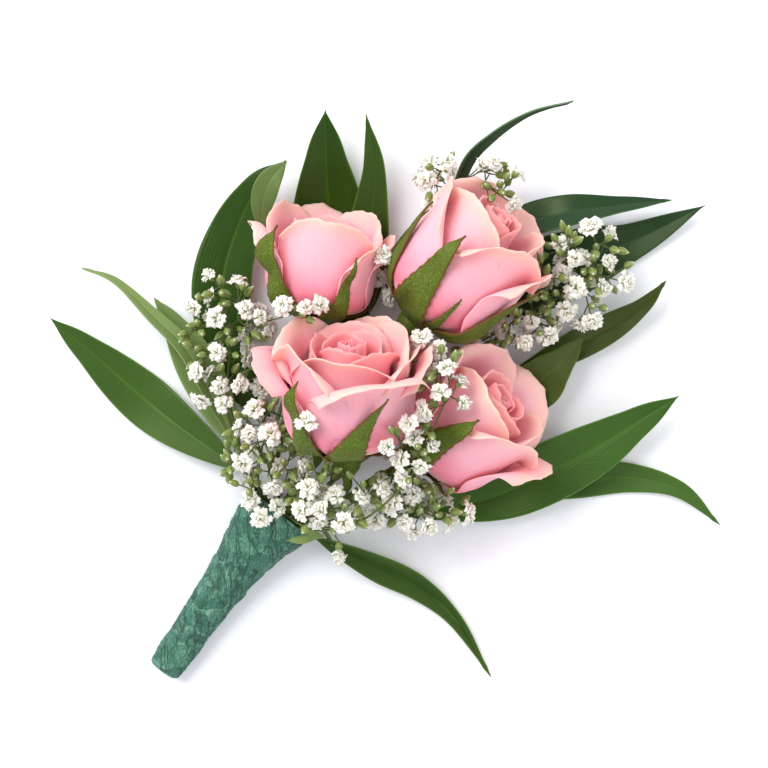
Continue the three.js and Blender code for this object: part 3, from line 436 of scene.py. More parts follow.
@dataclass(frozen=True)
class PetalFinish(Finish):
    """Rose petal: thin living tissue, velvety, pale at rims, with coral painted low in the petals and on
    the inner ones as the shade and glow of light through overlapping petals deep in the bloom.
    """

    name: str = "rose_petal"
    foot: str = "#f6dcc0"
    # painted shade: the coral of the bloom's shaded folds and overlapping petals
    painted_fold_shade: str = "#f97f94"
    body: str = "#ffacb9"
    pale: str = "#ffb8bf"
    rim: str = "#fcc0b4"
    vein: str = "#f6cdd2"
    vein_count: float = 34.0  # veins fan out about 1 mm apart over a 30 mm petal

    SHADER = {
        "Roughness": 0.5,
        "Subsurface Weight": 0.35,
        "Subsurface Radius": (1.0, 0.36, 0.3),
        "Subsurface Scale": 0.0022,
        "Sheen Weight": 0.25,
        "Sheen Roughness": 0.4,
        "Specular IOR Level": 0.3,
    }
    RELIEF = (0.12, 0.0003)

    def paint(self, node: NodeMaker, place: Socket) -> tuple[Socket, Socket]:
        """Grade the colour from foot to rim, with coral painted shade low in the petal and more on petals
        deeper inside the bloom, and a fan of faint veins.
        """
        along, across, tone = (
            node("ShaderNodeAttribute", {"attribute_name": name}, output="Fac")
            for name in ("along", "across", "tone")
        )
        blotch = node("ShaderNodeTexNoise", inputs={"Vector": place, "Scale": 130.0, "Detail": 3.0})
        shifted = node("ShaderNodeMath", TIMES_PLUS, {0: blotch, 1: 0.16, 2: -0.08})
        height = node("ShaderNodeMath", {"operation": "ADD"}, {0: along, 1: shifted})
        # the coral stop low in the petal is painted shade deep in the bloom; foot, body, pale and rim are
        # the petal's own colours
        stops = (
            (0.05, self.foot),
            (0.97, self.rim),
            (0.30, self.painted_fold_shade),
            (0.58, self.body),
            (0.86, self.pale),
        )
        graded = node("ShaderNodeValToRGB", inputs={"Fac": height}, stops=stops)
        # tone mixes in more of the same coral as painted shade on inner and curled-under petals
        shaded_inside = node("ShaderNodeMix", BLEND, {0: tone, 6: graded, 7: srgb(self.painted_fold_shade)})
        fan = node("ShaderNodeMath", {"operation": "MULTIPLY"}, {0: across, 1: self.vein_count})
        length = node("ShaderNodeMath", {"operation": "MULTIPLY"}, {0: along, 1: 5.0})
        spread = node("ShaderNodeCombineXYZ", inputs={"X": fan, "Y": length})
        inputs = {"Vector": spread, "Scale": 1.0, "Detail": 2.0, "Distortion": 0.6}
        veins = node("ShaderNodeTexNoise", inputs=inputs)
        faint = node("ShaderNodeMath", CLAMPED, {0: veins, 1: 0.6, 2: -0.26})
        lined = node(
            "ShaderNodeMix",
            BLEND | {"blend_type": "MULTIPLY"},
            {0: faint, 6: shaded_inside, 7: srgb(self.vein)},
        )
        return lined, veins


@dataclass(frozen=True)
class LeafFinish(Finish):
    """Ruscus leaf: leathery and waxy above, paler and duller below, with close parallel veins."""

    name: str = "ruscus_leaf"
    upper: str = "#102d05"
    light: str = "#30540c"
    lower: str = "#7a8f55"
    vein_count: float = 9.0  # veins each side of the midrib, about 0.7 mm apart

    SHADER = {
        "Roughness": 0.34,
        "Subsurface Weight": 0.06,
        "Subsurface Radius": (0.3, 0.8, 0.2),
        "Subsurface Scale": 0.001,
        "Specular IOR Level": 0.3,
        "Specular Tint": (0.9, 1.0, 0.55, 1.0),
    }
    RELIEF = (0.09, 0.0003)

    def paint(self, node: NodeMaker, place: Socket) -> tuple[Socket, Socket]:
        """Lighten the midrib, the veins and the rim, and show the lower side's own green."""
        across, under, tone = (
            node("ShaderNodeAttribute", {"attribute_name": name}, output="Fac")
            for name in ("across", "under", "tone")
        )
        blotch = node("ShaderNodeTexNoise", inputs={"Vector": place, "Scale": 90.0, "Detail": 4.0})
        turns = math.tau * self.vein_count
        angle = node("ShaderNodeMath", {"operation": "MULTIPLY"}, {0: across, 1: turns})
        wave = node("ShaderNodeMath", {"operation": "COSINE"}, {0: angle})
        ridge = node("ShaderNodeMath", TIMES_PLUS, {0: wave, 1: 0.5, 2: 0.5})
        side = node("ShaderNodeMath", {"operation": "ABSOLUTE"}, {0: across})
        ends = {"From Max": 0.09, "To Min": 0.5, "To Max": 0.0}
        rib = node("ShaderNodeMapRange", SOFT, {"Value": side} | ends)
        rim = node("ShaderNodeMapRange", SOFT, {"Value": side, "From Min": 0.93, "To Max": 0.6})
        paler = node("ShaderNodeMath", {"operation": "ADD"}, {0: rib, 1: rim})
        share = node("ShaderNodeMath", TIMES_PLUS, {0: ridge, 1: 0.09, 2: paler})
        patch = node("ShaderNodeMath", CLAMPED, {0: blotch, 1: 0.6, 2: share})
        above = node("ShaderNodeMix", BLEND, {0: patch, 6: srgb(self.upper), 7: srgb(self.light)})
        lighter = node("ShaderNodeMix", BLEND, {0: tone, 6: above, 7: srgb(self.lower)})
        both = node("ShaderNodeMix", BLEND, {0: under, 6: lighter, 7: srgb(self.lower)})
        return both, ridge


@dataclass(frozen=True)
class SepalFinish(Finish):
    """Rose sepal, hip and stem: matt olive green with pale dots, flecked and edged with brown."""

    name: str = "rose_sepal"
    green: str = "#354c0c"
    light: str = "#5a6f22"
    brown: str = "#6b4428"
    dots: str = "#7f9150"
    edge_from: float = 0.78  # share of the half width at which the brown edge starts

    SHADER = {
        "Roughness": 0.58,
        "Subsurface Weight": 0.05,
        "Subsurface Radius": (0.4, 0.6, 0.2),
        "Subsurface Scale": 0.001,
        "Specular IOR Level": 0.25,
        "Specular Tint": (0.9, 1.0, 0.5, 1.0),
    }
    RELIEF = (0.25, 0.0003)

    def paint(self, node: NodeMaker, place: Socket) -> tuple[Socket, Socket]:
        """Blotch two greens, dot them pale and brown, and brown the edge where tone says so."""
        across, tone = (
            node("ShaderNodeAttribute", {"attribute_name": name}, output="Fac")
            for name in ("across", "tone")
        )
        blotch = node("ShaderNodeTexNoise", inputs={"Vector": place, "Scale": 260.0, "Detail": 4.0})
        fleck = node("ShaderNodeTexNoise", inputs={"Vector": place, "Scale": 2600.0, "Detail": 1.0})
        base = node("ShaderNodeMix", BLEND, {0: blotch, 6: srgb(self.green), 7: srgb(self.light)})
        ends = {"From Min": 0.48, "From Max": 0.34, "To Max": 0.4}
        pale = node("ShaderNodeMapRange", inputs={"Value": fleck} | ends)
        dotted = node("ShaderNodeMix", BLEND, {0: pale, 6: base, 7: srgb(self.dots)})
        side = node("ShaderNodeMath", {"operation": "ABSOLUTE"}, {0: across})
        ends = {"From Min": self.edge_from, "To Max": tone}
        edge = node("ShaderNodeMapRange", SOFT, {"Value": side} | ends)
        ends = {"From Min": 0.54, "From Max": 0.7, "To Max": 0.45}
        spots = node("ShaderNodeMapRange", inputs={"Value": fleck} | ends)
        most = node("ShaderNodeMath", {"operation": "MAXIMUM"}, {0: edge, 1: spots})
        browned = node("ShaderNodeMix", BLEND, {0: most, 6: dotted, 7: srgb(self.brown)})
        return browned, fleck


@dataclass(frozen=True)
class BloomFinish(Finish):
    """Gypsophila bloom or bud: papery white petals, greener towards their foot."""

    name: str = "gypsophila_petal"
    foot: str = "#aebd78"
    petal: str = "#f6f3e6"
    green_until: float = 0.5

    SHADER = {
        "Roughness": 0.7,
        "Subsurface Weight": 0.3,
        "Subsurface Radius": (0.8, 0.8, 0.7),
        "Subsurface Scale": 0.0012,
    }
    RELIEF = (0.2, 0.0002)

    def paint(self, node: NodeMaker, place: Socket) -> tuple[Socket, Socket]:
        """Grade from the green foot to white, with a papery grain."""
        along = node("ShaderNodeAttribute", {"attribute_name": "along"}, output="Fac")
        stops = ((0.0, self.foot), (self.green_until, self.petal))
        graded = node("ShaderNodeValToRGB", inputs={"Fac": along}, stops=stops)
        grain = node("ShaderNodeTexNoise", inputs={"Vector": place, "Scale": 1500.0, "Detail": 2.0})
        return graded, grain


@dataclass(frozen=True)
class StalkFinish(Finish):
    """Green stalk or bud skin: smooth, slightly waxy, mottled over a millimetre or so."""

    name: str = "gypsophila_stalk"
    stalk: str = "#43561a"
    green: str = "#667a33"
    light: str = "#97a75e"
    mottle_mm: float = 1.2

    SHADER = {"Roughness": 0.5, "Subsurface Weight": 0.05}
    RELIEF = (0.15, 0.0002)

    def paint(self, node: NodeMaker, place: Socket) -> tuple[Socket, Socket]:
        """Mottle two greens on buds and cups, and leave the stalks darker."""
        mottle = node(
            "ShaderNodeTexNoise",
            inputs={"Vector": place, "Scale": 1000.0 / self.mottle_mm, "Detail": 2.0},
        )
        mixed = node("ShaderNodeMix", BLEND, {0: mottle, 6: srgb(self.green), 7: srgb(self.light)})
        tone = node("ShaderNodeAttribute", {"attribute_name": "tone"}, output="Fac")
        grown = node("ShaderNodeMix", BLEND, {0: tone, 6: srgb(self.stalk), 7: mixed})
        return grown, mottle


@dataclass(frozen=True)
class TapeFinish(Finish):
    """Floral tape: matt waxed crepe paper in soft facets, with fine fibres and sharp creases, whose light
    and shade are painted into its colour.
    """

    name: str = "floral_tape"
    # painted light and shade: the ramp from the dark to the light colour follows each facet's tilt as
    # well as the fibres
    shade_and_fibre_dark: str = "#2c5848"
    body: str = "#467864"
    light: str = "#7ca691"
    # painted shade: the dark colour drawn along the creases
    fold: str = "#1d3f35"
    facet_mm: float = 3.6
    facet_shade: float = 90.0  # change of shade for each metre that a facet rises
    fold_mm: float = 2.4
    fold_turns: Pair = (28.0, -24.0)  # degrees from the Y axis
    fold_level: float = 0.56
    fold_width: float = 0.055
    fibre_mm: float = 0.2
    fibre_turns: Triple = (62.0, -28.0, 15.0)
    fibre_relief: float = 0.0003  # metres

    SHADER = {"Roughness": 0.6, "Specular IOR Level": 0.3}
    RELIEF = (1.0, 0.6)

    def paint(self, node: NodeMaker, place: Socket) -> tuple[Socket, Socket]:
        """Paint light and shade on the facets by their tilt, add the crossing fibres, and paint shade
        along the creases over them.
        """
        drift = node(
            "ShaderNodeTexNoise",
            inputs={"Vector": place, "Scale": 300.0, "Detail": 2.0},
            output="Color",
        )
        warped = node("ShaderNodeVectorMath", TIMES_PLUS, {0: drift, 1: (0.0025,) * 3, 2: place})
        cells = node(
            "ShaderNodeTexVoronoi",
            {"feature": "F1"},
            {"Vector": warped, "Scale": 1000.0 / self.facet_mm},
            output="Color",
        )
        middle = cells.node.outputs["Position"]
        from_middle = node("ShaderNodeVectorMath", {"operation": "SUBTRACT"}, {0: warped, 1: middle})
        tilt = node("ShaderNodeVectorMath", {"operation": "SUBTRACT"}, {0: cells, 1: (0.5,) * 3})
        planes = node(
            "ShaderNodeVectorMath",
            {"operation": "DOT_PRODUCT"},
            {0: from_middle, 1: tilt},
            output="Value",
        )
        woven = None
        for turn in self.fibre_turns:
            rotation = (0.3, 0.2, math.radians(turn))
            inputs = {"Vector": place, "Rotation": rotation, "Scale": (1.0, 0.2, 0.6)}
            way = node("ShaderNodeMapping", inputs=inputs)
            size = 1000.0 / self.fibre_mm
            inputs = {"Vector": way, "Scale": size, "Detail": 2.0, "Distortion": 0.3}
            fibre = node("ShaderNodeTexNoise", inputs=inputs)
            pair = {0: woven, 1: fibre}
            woven = node("ShaderNodeMath", {"operation": "MAXIMUM"}, pair) if woven else fibre
        # painted light and shade: facets tilted one way are lighter, the other way darker
        shade = node("ShaderNodeMath", TIMES_PLUS, {0: planes, 1: self.facet_shade, 2: woven})
        stops = ((0.46, self.shade_and_fibre_dark), (0.8, self.light), (0.61, self.body))
        graded = node("ShaderNodeValToRGB", inputs={"Fac": shade}, stops=stops)
        height = node("ShaderNodeMath", TIMES_PLUS, {0: woven, 1: self.fibre_relief, 2: planes})
        creases = []
        for turn in self.fold_turns:
            rotation = (0.0, 0.0, math.radians(turn))
            inputs = {"Vector": warped, "Rotation": rotation, "Scale": (1.0, 0.13, 0.6)}
            way = node("ShaderNodeMapping", inputs=inputs)
            size = 1000.0 / self.fold_mm
            field = node("ShaderNodeTexNoise", inputs={"Vector": way, "Scale": size, "Detail": 0.0})
            off = node("ShaderNodeMath", {"operation": "SUBTRACT"}, {0: field, 1: self.fold_level})
            away = node("ShaderNodeMath", {"operation": "ABSOLUTE"}, {0: off})
            ends = {"From Max": self.fold_width, "To Min": 0.8, "To Max": 0.0}
            creases.append(node("ShaderNodeMapRange", SOFT, {"Value": away} | ends))
        # painted shade along the creases
        crease_shade_mask = node("ShaderNodeMath", {"operation": "MAXIMUM"}, {0: creases[0], 1: creases[1]})
        crease_shaded = node("ShaderNodeMix", BLEND, {0: crease_shade_mask, 6: graded, 7: srgb(self.fold)})
        return crease_shaded, height


@dataclass(frozen=True)
class FloorFinish(Finish):
    """The pale matt floor."""

    name: str = "floor"
    colour: str = "#f4f4f8"

    SHADER = {"Roughness": 0.9, "Specular IOR Level": 0.1}

    def make(self) -> Material:
        """Make the material, which is one even colour."""
        material, shader = self.start()
        shader.inputs["Base Color"].default_value = srgb(self.colour)
        return material


# Roses


@dataclass
class Petal:
    """One petal: its azimuth round the bloom, belly radius, length, half width and leans."""

    azimuth: float
    belly: float
    length: float
    half_width: float
    neck: float
    rim: float
    corner: float
    tip: float = 0.6
    drop: float = 0.22
    foot: float = 1.5
    foot_lean: float = 70.0
    spiral: float = 0.0
    wave: float = 0.3
    phase: float = 3.0
    # how much of the finish's coral painted shade is mixed into the petal
    tone: float = 0.0

    def lines(self, sides: Array, shares: Array) -> tuple[Array, Array]:
        """Return radii and heights on the petal, as sides by shares.

        Args:
            sides: Places across the petal, from -1 to 1.
            shares: Places along it, from 0 to 1.
        """
        bend = (np.arange(PROFILE_STEPS) + 0.5) / PROFILE_STEPS
        steps = np.arange(PROFILE_STEPS + 1) / PROFILE_STEPS
        belly_step = round(BELLY_AT * PROFILE_STEPS)
        radii, heights = [], []
        for side in sides:
            length = self.length * (1 - self.drop * abs(side) ** 3)
            length += self.tip * math.exp(-((side / 0.22) ** 2))
            rim = self.rim + self.corner * side * side
            lean = (
                self.foot_lean
                + (2 - self.foot_lean) * smooth(bend / BELLY_AT)
                + (self.neck - 2) * smooth((bend - BELLY_AT) / (NECK_AT - BELLY_AT))
                + (rim - self.neck) * smooth((bend - NECK_AT) / (1 - NECK_AT))
            )
            step = length / PROFILE_STEPS
            radius = self.foot + np.append(0, np.cumsum(np.sin(np.radians(lean)) * step))
            height = np.append(0, np.cumsum(np.cos(np.radians(lean)) * step))
            stretch = (self.belly - self.foot) / (radius[belly_step] - self.foot)
            low = self.foot + (radius - self.foot) * stretch
            high = self.belly + radius - radius[belly_step]
            radius = np.where(np.arange(PROFILE_STEPS + 1) <= belly_step, low, high)
            radii.append(np.interp(shares, steps, radius))
            heights.append(np.interp(shares, steps, height))
        return np.array(radii), np.array(heights)

    def grid(self, columns: int, rows: int) -> Array:
        """Return the petal's surface in the bloom's frame.

        Args:
            columns: Steps across it.
            rows: Steps along it.

        Returns:
            Its points, as columns + 1 by rows + 1 by 3.
        """
        sides = np.linspace(-1, 1, columns + 1)
        shares = np.arange(rows + 1) / rows
        radii, heights = self.lines(sides, shares)
        side, share = sides[:, None], shares[None, :]
        width = self.half_width * (0.3 + 0.7 * smooth(share / 0.55))
        width = width * (1 - 0.12 * smooth((share - 0.7) / 0.3))
        spread = side * np.minimum(width / np.maximum(radii, 2.2), 2.9)
        ripple = np.sin(6.2 * side + self.phase) * smooth((share - 0.6) / 0.4)
        lift = np.cos(4.6 * side + 1.7 * self.phase) * smooth((share - 0.7) / 0.3)
        reach = radii + self.spiral * side + self.wave * ripple
        turn = math.radians(self.azimuth) + spread
        height = heights + 0.8 * self.wave * lift
        return np.stack([reach * np.cos(turn), reach * np.sin(turn), height], axis=-1)

    def fine_grid(self, columns: int, rows: int) -> Array:
        """Return a close grid whose rim is softly nicked, as a living petal's is."""
        grid = self.grid(columns, rows)
        side = np.linspace(-1, 1, columns + 1)[:, None]
        share = np.linspace(0, 1, rows + 1)[None, :]
        nicks = 0.16 * np.sin(15 * side + 5 * self.phase) + 0.1 * np.sin(29 * side + self.phase)
        near_rim = smooth((share - 0.8) / 0.2)
        pull = grid - np.roll(grid, 1, axis=1)
        pull[:, 0] = 0
        length = np.maximum(np.linalg.norm(pull, axis=-1, keepdims=True), 1e-9)
        grid = grid + pull / length * (nicks * near_rim)[..., None]
        dimple = 0.10 * np.sin(9 * side + 2 * self.phase) * np.sin(7 * share + self.phase)
        return grid + grid_normals(grid) * (dimple * smooth(share / 0.3))[..., None]


@dataclass
class Whorl:
    """The furled petals round the heart, each a golden angle past the one before."""

    count: int
    start: float
    belly: Pair
    length: Pair
    neck: Pair
    rim: Pair
    half_width: Pair
    corner: Pair
    seed: int

    def petals(self) -> list[Petal]:
        """Return the petals from the heart outwards."""
        random = SeededRandom(self.seed)
        made = []
        for i in range(self.count):
            share = i / (self.count - 1)
            ends = (self.belly, self.length, self.half_width, self.neck, self.rim, self.corner)
            made.append(
                Petal(
                    self.start + i * GOLDEN_ANGLE + mix(-8, 8, random()),
                    *(mix(first, last, share) for first, last in ends),
                    tip=0.2,
                    drop=0.06 + 0.1 * share,
                    foot=0.8 + 0.8 * share,
                    foot_lean=50 + 25 * share,
                    spiral=0.7 * (1 - 0.5 * share),
                    wave=0.25,
                    phase=6 * random(),
                    # painted shade: inner petals take more of the coral, as they lie deeper in the bloom
                    tone=mix(0.75, 0.3, share),
                )
            )
        return made


@dataclass
class Drape:
    """How far the outer petals reach from the sepals' centre, each way that a point of them lies."""

    towards: Array
    far: Array
    neighbourhood: float
    clearance: float

    def at(self, aim: Point) -> float:
        """Return the distance that clears the petals round one direction, or 0 beyond them."""
        close = self.far[self.towards @ aim > math.cos(math.radians(self.neighbourhood))]
        return float(close.max()) + self.clearance if close.size else 0.0


@dataclass
class Sepal:
    """One sepal: azimuth, how far up the bloom it reaches, half its width, curl and swing."""

    azimuth: float
    reach_angle: float
    half_width: float
    curl: float
    sweep: float = 0.0

    START_ANGLE = 14.0
    START_DISTANCE = SEPAL_CENTRE + 2.0
    FINE_COLUMNS = 8
    FINE_ROWS = 40
    SMOOTHINGS = 6

    def directions(self, columns: int, rows: int) -> Array:
        """Return unit directions from the bloom's middle, as columns by rows by 3."""
        side = np.linspace(-1, 1, columns + 1)[:, None]
        share = np.linspace(0, 1, rows + 1)[None, :]
        polar = np.radians(mix(self.START_ANGLE, self.reach_angle, share))
        widening = 0.55 + 0.45 * smooth(share / 0.25)
        width = np.maximum(0.3, self.half_width * widening * (1 - share**1.7))
        width = width / (12 * np.maximum(np.sin(polar), 0.3))
        turn = np.radians(self.azimuth + self.sweep * share**2) + side * width
        level = np.sin(polar) + 0 * turn
        return np.stack([level * np.cos(turn), level * np.sin(turn), -np.cos(polar) + 0 * turn], -1)

    def distances(self, columns: int, rows: int, drape: Drape) -> Array:
        """Return how far out the sepal lies to clear the petals.

        Args:
            columns: Steps across it.
            rows: Steps along it.
            drape: How far the petals reach.

        Returns:
            Distances from the sepals' centre, as columns + 1 by rows + 1.
        """
        aims = self.directions(columns, rows)
        found = np.zeros(aims.shape[:2])
        for i in range(columns + 1):
            for j in range(rows + 1):
                beyond = found[i, j - 1] if j else self.START_DISTANCE
                found[i, j] = drape.at(aims[i, j]) or beyond
        return found

    def shape(self, aims: Array, found: Array) -> Array:
        """Return the sepal's surface.

        Args:
            aims: Its directions from the sepals' centre.
            found: How far out it lies in each of them.
        """
        share = np.linspace(0, 1, aims.shape[1])[None, :]
        start = self.START_DISTANCE
        draped = mix(start, np.maximum(found, start), smooth(share / 0.12))
        curled = draped + self.curl * smooth((share - 0.7) / 0.3)
        return aims * curled[..., None] + np.array([0, 0, SEPAL_CENTRE])

    def grid(self, columns: int, rows: int, drape: Drape) -> Array:
        """Return the sepal's surface in the bloom's frame, as the solid part has it."""
        found = self.distances(columns, rows, drape)
        return self.shape(self.directions(columns, rows), found)

    def fine_grid(self, drape: Drape) -> Array:
        """Return a close grid that hugs the petals, its edges slightly toothed."""
        columns, rows = self.FINE_COLUMNS, self.FINE_ROWS
        found = self.distances(columns, rows, drape)
        for _ in range(self.SMOOTHINGS):
            padded = np.pad(found, 1, mode="edge")
            found = (
                4 * padded[1:-1, 1:-1]
                + 2 * (padded[1:-1, :-2] + padded[1:-1, 2:])
                + padded[:-2, 1:-1]
                + padded[2:, 1:-1]
            ) / 10
        grid = self.shape(self.directions(columns, rows), found)
        middle = grid[columns // 2]
        share = np.linspace(0, 1, rows + 1)
        side = np.linspace(-1, 1, columns + 1)
        teeth = 0.06 * np.sin(2.1 * np.arange(rows + 1)) * smooth((1 - share) / 0.2)
        for i, s in enumerate(side):
            wide = (1 + teeth * abs(s) ** 3) * np.clip((1 - share) / 0.08, 0.12, 1)
            grid[i] = middle + (grid[i] - middle) * wide[:, None]
        return grid


@dataclass
class Lane:
    """Where a stem runs inside the tape, from its cut end to the mouth."""

    start: float
    cut: Pair
    mouth: Pair


@dataclass
class Rose:
    """One bloom on its stem, with its petals, sepals, hip and stem."""

    name: str
    base: Triple
    axis: Triple
    whorl: Whorl
    outer: list[Petal]
    sepals: list[Sepal]
    lane: Lane
    route: list[Triple]

    PETAL_COLUMNS = 30
    PETAL_ROWS = 30
    PETAL_THICKNESS = 0.34
    SEPAL_THICKNESS = 0.45
    HIP_SIDES = 28
    # Radius and height of the hip from the stem up, its height from the foot of the petals
    HIP: ClassVar[list[Pair]] = [
        (ROSE_STEM_RADIUS, -HIP_LENGTH), (1.9, 0.9 - HIP_LENGTH), (2.7, 2.2 - HIP_LENGTH),
        (3.1, 3.6 - HIP_LENGTH), (HIP_RADIUS, -2.6), (3.1, -1.6), (2.6, -0.9), (1.2, -0.7),
    ]

    def place(self, points: Array) -> Array:
        """Map points of the bloom's frame to the part; its third axis is the bloom's own."""
        axis = unit(np.array(self.axis, float))
        up = np.array([0.0, 0, 1])
        front = unit(up - axis * axis[2])
        flank = np.cross(axis, front)
        return np.asarray(points, float) @ np.array([front, flank, axis]) + np.array(self.base)

    def on_axis(self, height: float) -> Point:
        """Return a point on the bloom's axis."""
        return self.place(np.array([[0.0, 0, height]]))[0]

    def drape(self, neighbourhood: float, clearance: float) -> Drape:
        """Return how far the outer petals reach from the sepals' centre.

        Args:
            neighbourhood: Degrees round a direction in which petals count.
            clearance: How far beyond the petals a sepal lies.
        """
        points = np.concatenate([petal.grid(16, 20).reshape(-1, 3) for petal in self.outer])
        away = points - np.array([0, 0, SEPAL_CENTRE])
        far = np.linalg.norm(away, axis=1)
        return Drape(away / far[:, None], far, neighbourhood, clearance)

    def petals_piece(self, petal: Material) -> Object:
        """Make all the petals as one piece."""
        build = Build()
        rows = np.linspace(0, 1, self.PETAL_ROWS + 1)[None, :]
        thickness = self.PETAL_THICKNESS * (1.35 - 0.7 * rows)
        for shape in [*self.whorl.petals(), *self.outer]:
            shape = replace(shape, **PETAL_LOOKS.get((self.name, shape.azimuth), {}))
            grid = self.place(shape.fine_grid(self.PETAL_COLUMNS, self.PETAL_ROWS))
            add_sheet(build, grid, thickness, tone=shape.tone)
        made = build.piece(self.name + "_bloom", petal)
        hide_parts(self.name + "_petals")
        return made

    def greens_piece(self, sepal: Material, hairs: "HairTree") -> Object:
        """Make the sepals, hip and stem as one piece.

        Args:
            sepal: Their finish.
            hairs: Grows the bristles on the sepals.
        """
        build = Build()
        drape = self.drape(neighbourhood=7.0, clearance=0.75)
        for shape in self.sepals:
            shape = replace(shape, **SEPAL_LOOKS.get((self.name, shape.azimuth), {}))
            grid = self.place(shape.fine_grid(drape))
            add_sheet(build, grid, self.SEPAL_THICKNESS, tone=0.9)
            hairs.edge(grid)
        add_rings(build, [self.place(ring) for ring in turned_rings(self.HIP, self.HIP_SIDES)])
        ends = [self.on_axis(-HIP_LENGTH - 2.5), self.on_axis(-HIP_LENGTH + 0.6)]
        line = SmoothPath([*Wrap.lane(self.lane), *self.route, *ends]).spread(60)
        add_tube(build, line, lambda s: ROSE_STEM_RADIUS + 0.25 * smooth((s - 0.93) / 0.07))
        solid = build.piece(self.name + "_greens", sepal)
        hairs.grow_on(solid, sepal)
        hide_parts(self.name + "_calyx_and_stem")
        return solid


# The taped handle


class Wrap:
    """The tape wound round the stems, from its folded end to its mouth."""

    # Centre, half the width and half the height of each section
    SECTIONS: ClassVar[list[tuple[float, float, float, float]]] = [
        (-48.9, -61.4, 3.5, 3.4), (-44.6, -55.4, 3.9, 3.7), (-40.4, -49.6, 4.2, 4.0),
        (-36.6, -44.2, 4.6, 4.3), (-33.0, -39.0, 5.3, 4.8), (-29.4, -34.2, 6.4, 5.5),
        (-26.0, -30.0, 7.8, 6.3), (-23.0, -26.4, 8.8, 6.9),
    ]
    WALL = 0.7
    TURNS = 7
    OVERLAP = 0.2
    SIDES = 120
    RINGS = 190
    CREASES = 120
    END_INSETS = (2.9, 2.2, 1.3, 0.6)  # rings that close the folded end
    INSIDE = (1, 0.9, 0.75, 0.6)  # shares of the way at which the inner rings lie
    PATH = SmoothPath([(x, y, h - 0.5) for x, y, _, h in SECTIONS])  # pressed 0.5 mm flat

    @classmethod
    def section(cls, share: float) -> tuple[Point, Point, float, float]:
        """Return the centre, the direction to the right, half the width and half the height."""
        centre = cls.PATH.at(share)
        ahead = cls.PATH.ahead(share)
        right = unit(np.array([ahead[1], -ahead[0], 0.0]))
        spot = share * (len(cls.SECTIONS) - 1)
        index = min(int(spot), len(cls.SECTIONS) - 2)
        here, after = cls.SECTIONS[index], cls.SECTIONS[index + 1]
        width = mix(here[2], after[2], spot - index)
        height = mix(here[3], after[3], spot - index)
        return centre, right, width, height

    @classmethod
    def lane(cls, lane: Lane) -> list[Point]:
        """Return the points of a stem's way through the tape."""
        points = []
        for share in (lane.start, mix(lane.start, 1, 0.35), mix(lane.start, 1, 0.7), 1.0):
            centre, right, _, _ = cls.section(share)
            part = (share - lane.start) / (1 - lane.start)
            point = centre + right * mix(lane.cut[0], lane.mouth[0], part)
            point[2] += mix(lane.cut[1], lane.mouth[1], part)
            points.append(point)
        return points

    def ring(self, share: float, swell: Array, lowest: float) -> Array:
        """Return one ring of points.

        Args:
            share: Where it is along the handle.
            swell: How far each point is pushed out.
            lowest: Least height above the floor.
        """
        centre, right, width, height = self.section(share)
        turns = 2 * np.pi * np.arange(self.SIDES) / self.SIDES
        sides = -(width + swell) * np.cos(turns)
        points = centre + sides[:, None] * right
        points[:, 2] = np.maximum(lowest, points[:, 2] + (height + swell) * np.sin(turns))
        return points

    def swell(self, share: float, bulges: Array) -> Array:
        """Return how far the tape stands out round one ring: its laps, creases and crepe.

        Args:
            share: Where the ring is along the handle.
            bulges: Creases and crepe round the ring.
        """
        around = np.arange(self.SIDES) / self.SIDES
        laid = share * self.TURNS - around
        lap = laid - np.floor(laid)
        step = self.OVERLAP * (lap - 0.5) - 0.25 * self.OVERLAP * smooth((lap - 0.94) / 0.06)
        return step + bulges

    def creases(self) -> Callable[[float], Array]:
        """Return a function that gives the depth of the creases round a ring."""
        random = SeededRandom(31)
        folds = []
        for _ in range(self.CREASES):
            spot, turn = random(), random()
            long, wide = mix(0.04, 0.13, random()), mix(0.012, 0.035, random())
            slant, high = mix(-1.6, 1.6, random()), mix(0.08, 0.27, random())
            folds.append((spot, turn, long, wide, slant, high * (1 if random() > 0.4 else -1)))
        around = np.arange(self.SIDES) / self.SIDES

        def depth(share: float) -> Array:
            """Return how far the creases push the ring at a share in or out."""
            total = np.zeros(self.SIDES)
            for spot, turn, long, wide, slant, high in folds:
                away = (share - spot) / long
                if abs(away) > 1:
                    continue
                off = (around - turn - slant * (share - spot) + 0.5) % 1 - 0.5
                total += high * (1 - away * away) * np.exp(-np.abs(off / wide))
            ripple = 0.05 * np.sin(2 * np.pi * (37 * around + 9 * share))
            return total + ripple + 0.04 * np.sin(2 * np.pi * (23 * around - 31 * share))

        return depth

    def piece(self, tape: Material) -> Object:
        """Make the tape as one closed piece: outside, rolled lip, inside and folded end."""
        depth = self.creases()
        zero = np.zeros(self.SIDES)
        rings = []
        for inset in self.END_INSETS:
            ring = self.ring(0, zero - inset, 0.0)
            ring[:, 2] = ring[:, 2] * (1 - 0.18 * inset) + 0.2 * inset
            rings.append(ring)
        shares = np.linspace(0.012, 1, self.RINGS)
        rings += [self.ring(s, self.swell(s, depth(s)), 0.0) for s in shares]
        rings += [self.ring(s, zero - self.WALL, self.WALL) for s in self.INSIDE]
        build = Build()
        add_rings(build, rings, [0.0] * len(self.END_INSETS) + [*shares, *self.INSIDE])
        made = build.piece("tape_handle", tape)
        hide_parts("tape_wrap")
        return made


# Leaves


